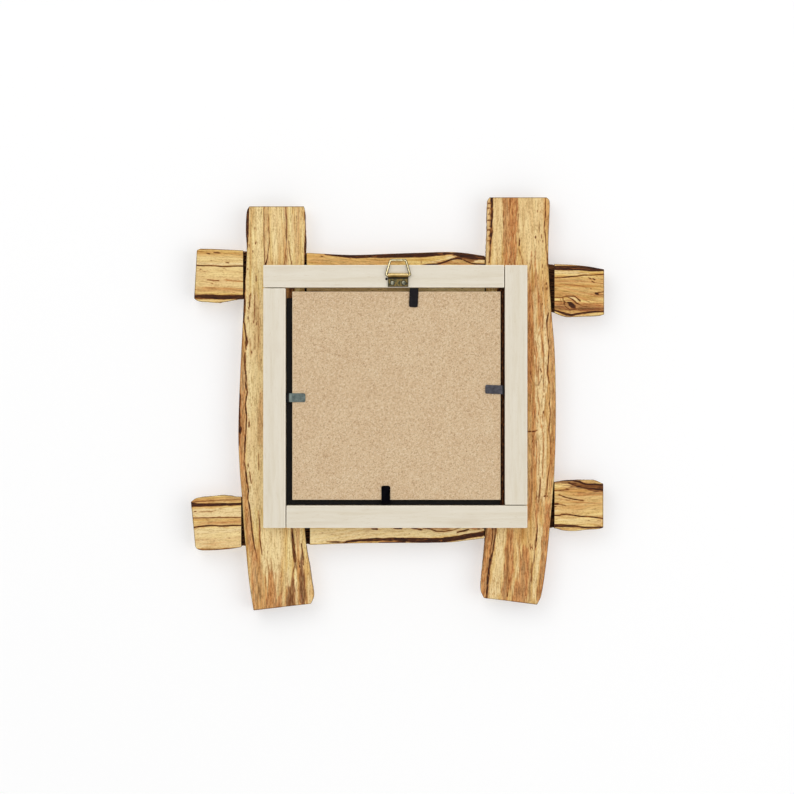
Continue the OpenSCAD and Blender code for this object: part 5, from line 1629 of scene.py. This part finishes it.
def roundedPath(corners, radii, arcPoints, step):
    # closed path through corners, each turned by an arc of its own radius
    arcs = []
    for k, (here, radius) in enumerate(zip(corners, radii)):
        back, on = normalised(np.stack([corners[k - 1], corners[(k + 1) % len(corners)]]) - here)
        half = math.acos(np.clip(back @ on, -1, 1)) / 2
        reach = radius / math.tan(half)
        inward = (back + on) / np.linalg.norm(back + on)
        centre = here + inward * radius / math.sin(half)
        start = here + back * reach - centre
        end = here + on * reach - centre
        first = math.atan2(start[1], start[0])
        turn = (math.atan2(end[1], end[0]) - first + math.pi) % (2 * math.pi) - math.pi
        angle = first + turn * np.linspace(0, 1, arcPoints)
        arcs.append(centre + radius * np.stack([np.cos(angle), np.sin(angle)], -1))
    joined = []
    for arc, nextArc in zip(arcs, arcs[1:] + arcs[:1]):
        a, b = arc[-1], nextArc[0]
        count = max(int(np.linalg.norm(b - a) / step), 1)
        joined += [arc, a + (b - a) * (np.arange(1, count) / count)[:, None]]
    return np.concatenate(joined)


pinHeight = -8.9  # of the ring's pin, inside the rolled strap

ring = {
    "wire": 1.4,
    "height": 9.2,
    "halves": (7.4, 4.7),  # half widths at the pin and at the top
    "bends": (0.6, 1.2),  # their radii, there
    "bendPoints": 14,
    "step": 0.35,
    "around": 28,
    "dents": (0.02, 4, (2.5, 2.5, 2.5)),
    "flankShadeFrom": (0.99, 8),  # share of the wire's radius below which its flanks get painted shade, and how fast it deepens
}


def makeRing(r, material):
    # round wire on a closed path with rounded corners, faintly dented
    (baseHalf, topHalf), (lowBend, topBend) = r["halves"], r["bends"]
    corners = np.array([(baseHalf, 0), (topHalf, r["height"]), (-topHalf, r["height"]), (-baseHalf, 0)])
    path = roundedPath(corners, (lowBend, topBend, topBend, lowBend), r["bendPoints"], r["step"])
    radius = r["wire"] / 2
    angle = np.linspace(0, 2 * np.pi, r["around"], endpoint=False)
    flat, lift = sweptSection(path, radius * np.stack([np.cos(angle), np.sin(angle)], -1), True)
    share, seed, waves = r["dents"]
    dents = share * swells(np.concatenate([flat, lift[..., None]], -1), seed, waves)
    points = np.stack([flat[..., 0], lift * (1 + dents), flat[..., 1] + pinHeight], -1)
    # painted shade on the wire's flanks, so only its front and back stay bright, like a highlight
    paintedFlankShade = np.clip((r["flankShadeFrom"][0] - np.abs(lift) / radius) * r["flankShadeFrom"][1], 0, 1)
    meshPiece("ring_wire", points.reshape(-1, 3), ringFaces(len(path), r["around"], True), material,
              "ring", ["hanger_ring"], paintedFlankShade)


nails = {
    "head": 2.4,
    "headHeight": 0.5,
    "domeRim": 0.45,  # height of the dome's rim, as a share of the head's
    "domePoints": 9,
    "rim": ((0.99, 0.09), (0.95, 0.0)),  # out as a share of the head's radius, and up
    "shank": 1.2,
    "neck": (0.08, -0.25),  # how much thicker under the head, and where that ends
    "grooves": (12, 0.02, -0.5, 0.3),  # how many, how deep, where they begin, their pitch
    "length": 7.0,
    "point": 1.6,
    "facet": (0.03, 3, 1.0, -0.1),  # depth, count, turn, and from what height
    "spread": 6.8,
    "height": -13.5,
    "seat": -0.16,  # back face of the strap
    "around": 32,
}

strap = {
    "width": 12.4,
    "sheet": 0.58,  # thickness of the sheet metal
    "roll": 1.06,  # radius of the roll at the middle of the sheet
    "rollTurn": (180, -72),  # degrees
    "rollPoints": 40,
    "foot": -15.9,
    "backLayer": -1.06,
    "frontLayer": -0.46,
    "legTop": 0.3,  # how far below the pin the back leg ends
    "legPoints": 18,
    "bendEnd": 2.15,  # how far below the pin the reverse bend ends
    "bendPulls": (0.55, 0.75),
    "bendPoints": 14,
    "corner": 0.12,  # rounding of the cut edges
    "cornerPoints": 4,
    "widePoints": 26,
    "ripple": (0.03, 9, (4.0, 30.0, 4.0)),
    "rippleFrom": -0.3,
    "grimeSide": (0.9, 1.2),  # reach in from the sides, and how far below the pin it begins
    "grimeFoot": 0.8,
    "creaseShade": (1.4, 1.7, 0.5),  # the painted shade's strength, how far below the pin, reach
    "nailDarkRing": (1.35, 0.3),  # radius round each nail, reach
}


def strapPath(s):
    # up the wood, over the roll, through a reverse bend, a cubic curve, and down again
    up = np.linspace(s["foot"], pinHeight - s["legTop"], s["legPoints"])
    up = np.stack([np.full(len(up), s["backLayer"]), up], -1)
    turn = np.radians(np.linspace(*s["rollTurn"], s["rollPoints"]))
    roll = np.stack([s["roll"] * np.cos(turn), pinHeight + s["roll"] * np.sin(turn)], -1)
    a = roll[-1]
    b = np.array([s["frontLayer"], pinHeight - s["bendEnd"]])
    out = np.array([np.cos(turn[-1] - np.pi / 2), np.sin(turn[-1] - np.pi / 2)])
    t = np.linspace(0, 1, s["bendPoints"])[1:-1, None]
    c1 = a + out * s["bendPulls"][0]
    c2 = b + np.array([0, s["bendPulls"][1]])
    bend = a * (1 - t) ** 3 + 3 * c1 * t * (1 - t) ** 2 + 3 * c2 * t ** 2 * (1 - t) + b * t ** 3
    down = np.linspace(b[1], s["foot"], s["legPoints"])
    down = np.stack([np.full(len(down), s["frontLayer"]), down], -1)
    return np.concatenate([up, roll, bend, down])


def strapSection(s):
    # a flat oblong with rounded corners
    r = s["corner"]
    x, y = s["width"] / 2 - r, s["sheet"] / 2 - r
    quarter = np.linspace(0, np.pi / 2, s["cornerPoints"])
    arc = np.stack([np.cos(quarter), np.sin(quarter)], -1) * r
    straight = np.linspace(x, -x, s["widePoints"])[1:-1]
    top = np.stack([straight, np.full(len(straight), y + r)], -1)
    return np.concatenate([arc + (x, y), top, arc[::-1] * (-1, 1) + (-x, y),
                           -arc - (x, y), -top, arc[::-1] * (1, -1) + (x, -y)])


def strapGrimeAndShade(s, points):
    # grime along the cut sides and the foot, painted shade in the crease under the roll, and a darker ring
    # round each nail head
    x, z = np.abs(points[..., 0]), points[..., 2]
    sideReach, sideFrom = s["grimeSide"]
    strength, crease, creaseReach = s["creaseShade"]
    radius, nailReach = s["nailDarkRing"]
    grimeAndShade = faded(x, s["width"] / 2 - sideReach, sideReach) * (z < pinHeight - sideFrom)
    grimeAndShade = np.maximum(grimeAndShade, np.clip((s["foot"] + s["grimeFoot"] - z) / s["grimeFoot"], 0, 1))
    grimeAndShade = np.maximum(grimeAndShade, strength * np.exp(-((z - pinHeight + crease) / creaseReach) ** 2))
    fromNail = np.hypot(x - nails["spread"] / 2, z - nails["height"])
    return np.maximum(grimeAndShade, np.exp(-((fromNail - radius) / nailReach) ** 2))


def makeStrap(s, material):
    # one strip of sheet folded round the wire
    flat, wide = sweptSection(strapPath(s), strapSection(s)[:, ::-1], False)
    points = np.stack([wide, flat[..., 0], flat[..., 1]], -1)
    share, seed, waves = s["ripple"]
    uneven = share * swells(points, seed, waves)
    points[..., 1] -= np.clip(uneven, 0, 1) * (points[..., 1] > s["rippleFrom"])
    # flat ends: each end ring drawn in to its own middle
    ends = [points[at][None] * 0.0 + points[at].mean(0) for at in (0, -1)]
    points = np.concatenate([ends[0], points, ends[1]])
    meshPiece("strap_plate", points.reshape(-1, 3), ringFaces(*points.shape[:2]), material,
              "frame", ["hanger_strap"], strapGrimeAndShade(s, points))


def makeNails(n, material):
    # a low domed head over a shank with a drawn point: a profile turned round each nail's axis
    r, shank = n["head"] / 2, n["shank"] / 2
    dome = np.linspace(0, np.pi / 2, n["domePoints"])
    height = n["headHeight"] * (n["domeRim"] + (1 - n["domeRim"]) * np.cos(dome))
    head = np.stack([r * np.sin(dome), height], -1)
    rim = np.array(n["rim"]) * (r, 1)
    neck = np.array([(shank + n["neck"][0], 0.0), (shank, n["neck"][1])])
    count, deep, start, pitch = n["grooves"]
    grip = np.stack([shank - deep * (np.arange(count) % 2), start - np.arange(count) * pitch], -1)
    point = np.array([(shank, n["point"] - n["length"]), (0.0, -n["length"])])
    profile = np.concatenate([head, rim, neck, grip, point])
    out, up = profile[:, 0:1], profile[:, 1:]
    angle = np.linspace(0, 2 * np.pi, n["around"], endpoint=False)[None, :]
    deep, count, turn, above = n["facet"]
    facet = 1 + deep * np.sin(count * angle + turn) * (up > above)
    x, z = (out * wave(angle) * facet for wave in (np.cos, np.sin))
    y = np.broadcast_to(up + n["seat"], x.shape)
    faces = ringFaces(len(profile), n["around"])
    both = [np.stack([x + side * n["spread"] / 2, y, z + n["height"]], -1).reshape(-1, 3) for side in (-1, 1)]
    meshPiece("strap_nails", np.concatenate(both), np.concatenate([faces, faces + x.size]), material,
              "frame", ["hanger_nails"])


wireLook = {
    "tones": [(0.36, (190, 166, 108)), (0.46, (224, 206, 154)), (0.56, (240, 230, 192)),
              (0.68, (204, 182, 122))],
    "stain": (128, 104, 58), "size": 2.2, "metal": 0.9, "rough": (0.18, 0.4), "seed": 2.0,
    # the dark colour of the painted shade on the wire's flanks
    "grimeAndShade": (60, 50, 26),
}
strapLook = {
    "tones": [(0.36, (46, 43, 26)), (0.45, (86, 82, 54)), (0.53, (122, 100, 52)), (0.62, (60, 58, 44))],
    "stain": (52, 48, 38), "size": 2.6, "metal": 0.8, "rough": (0.3, 0.55), "seed": 6.0,
    # dark colour for the grime, for the painted shade in the crease and for the rings round the nails
    "grimeAndShade": (34, 28, 18),
    # by height over the pin: painted shade makes the roll browner low down, a painted highlight makes it
    # bright above
    "paintedLightBands": [(-1.5, -1.2, [(0.35, (98, 76, 34)), (0.65, (142, 112, 58))]),
              (-0.2, 0.3, [(0.35, (198, 168, 104)), (0.65, (228, 206, 150))])],
}
nailLook = {
    "tones": [(0.4, (78, 80, 68)), (0.5, (116, 116, 100)), (0.6, (172, 166, 142))],
    "stain": (60, 54, 44), "size": 1.2, "metal": 0.85, "rough": (0.3, 0.5), "seed": 9.0,
}
# the roll's painted shade and highlight, by height
rollPaintedLight = [(2, pinHeight + start, pinHeight + full, tones) for start, full, tones in strapLook["paintedLightBands"]]
makeRing(ring, wornMetal("brassedWire", wireLook))
makeStrap(strap, wornMetal("brassedStrap", strapLook, rollPaintedLight))
makeNails(nails, wornMetal("nailSteel", nailLook))
print("hanger is in")
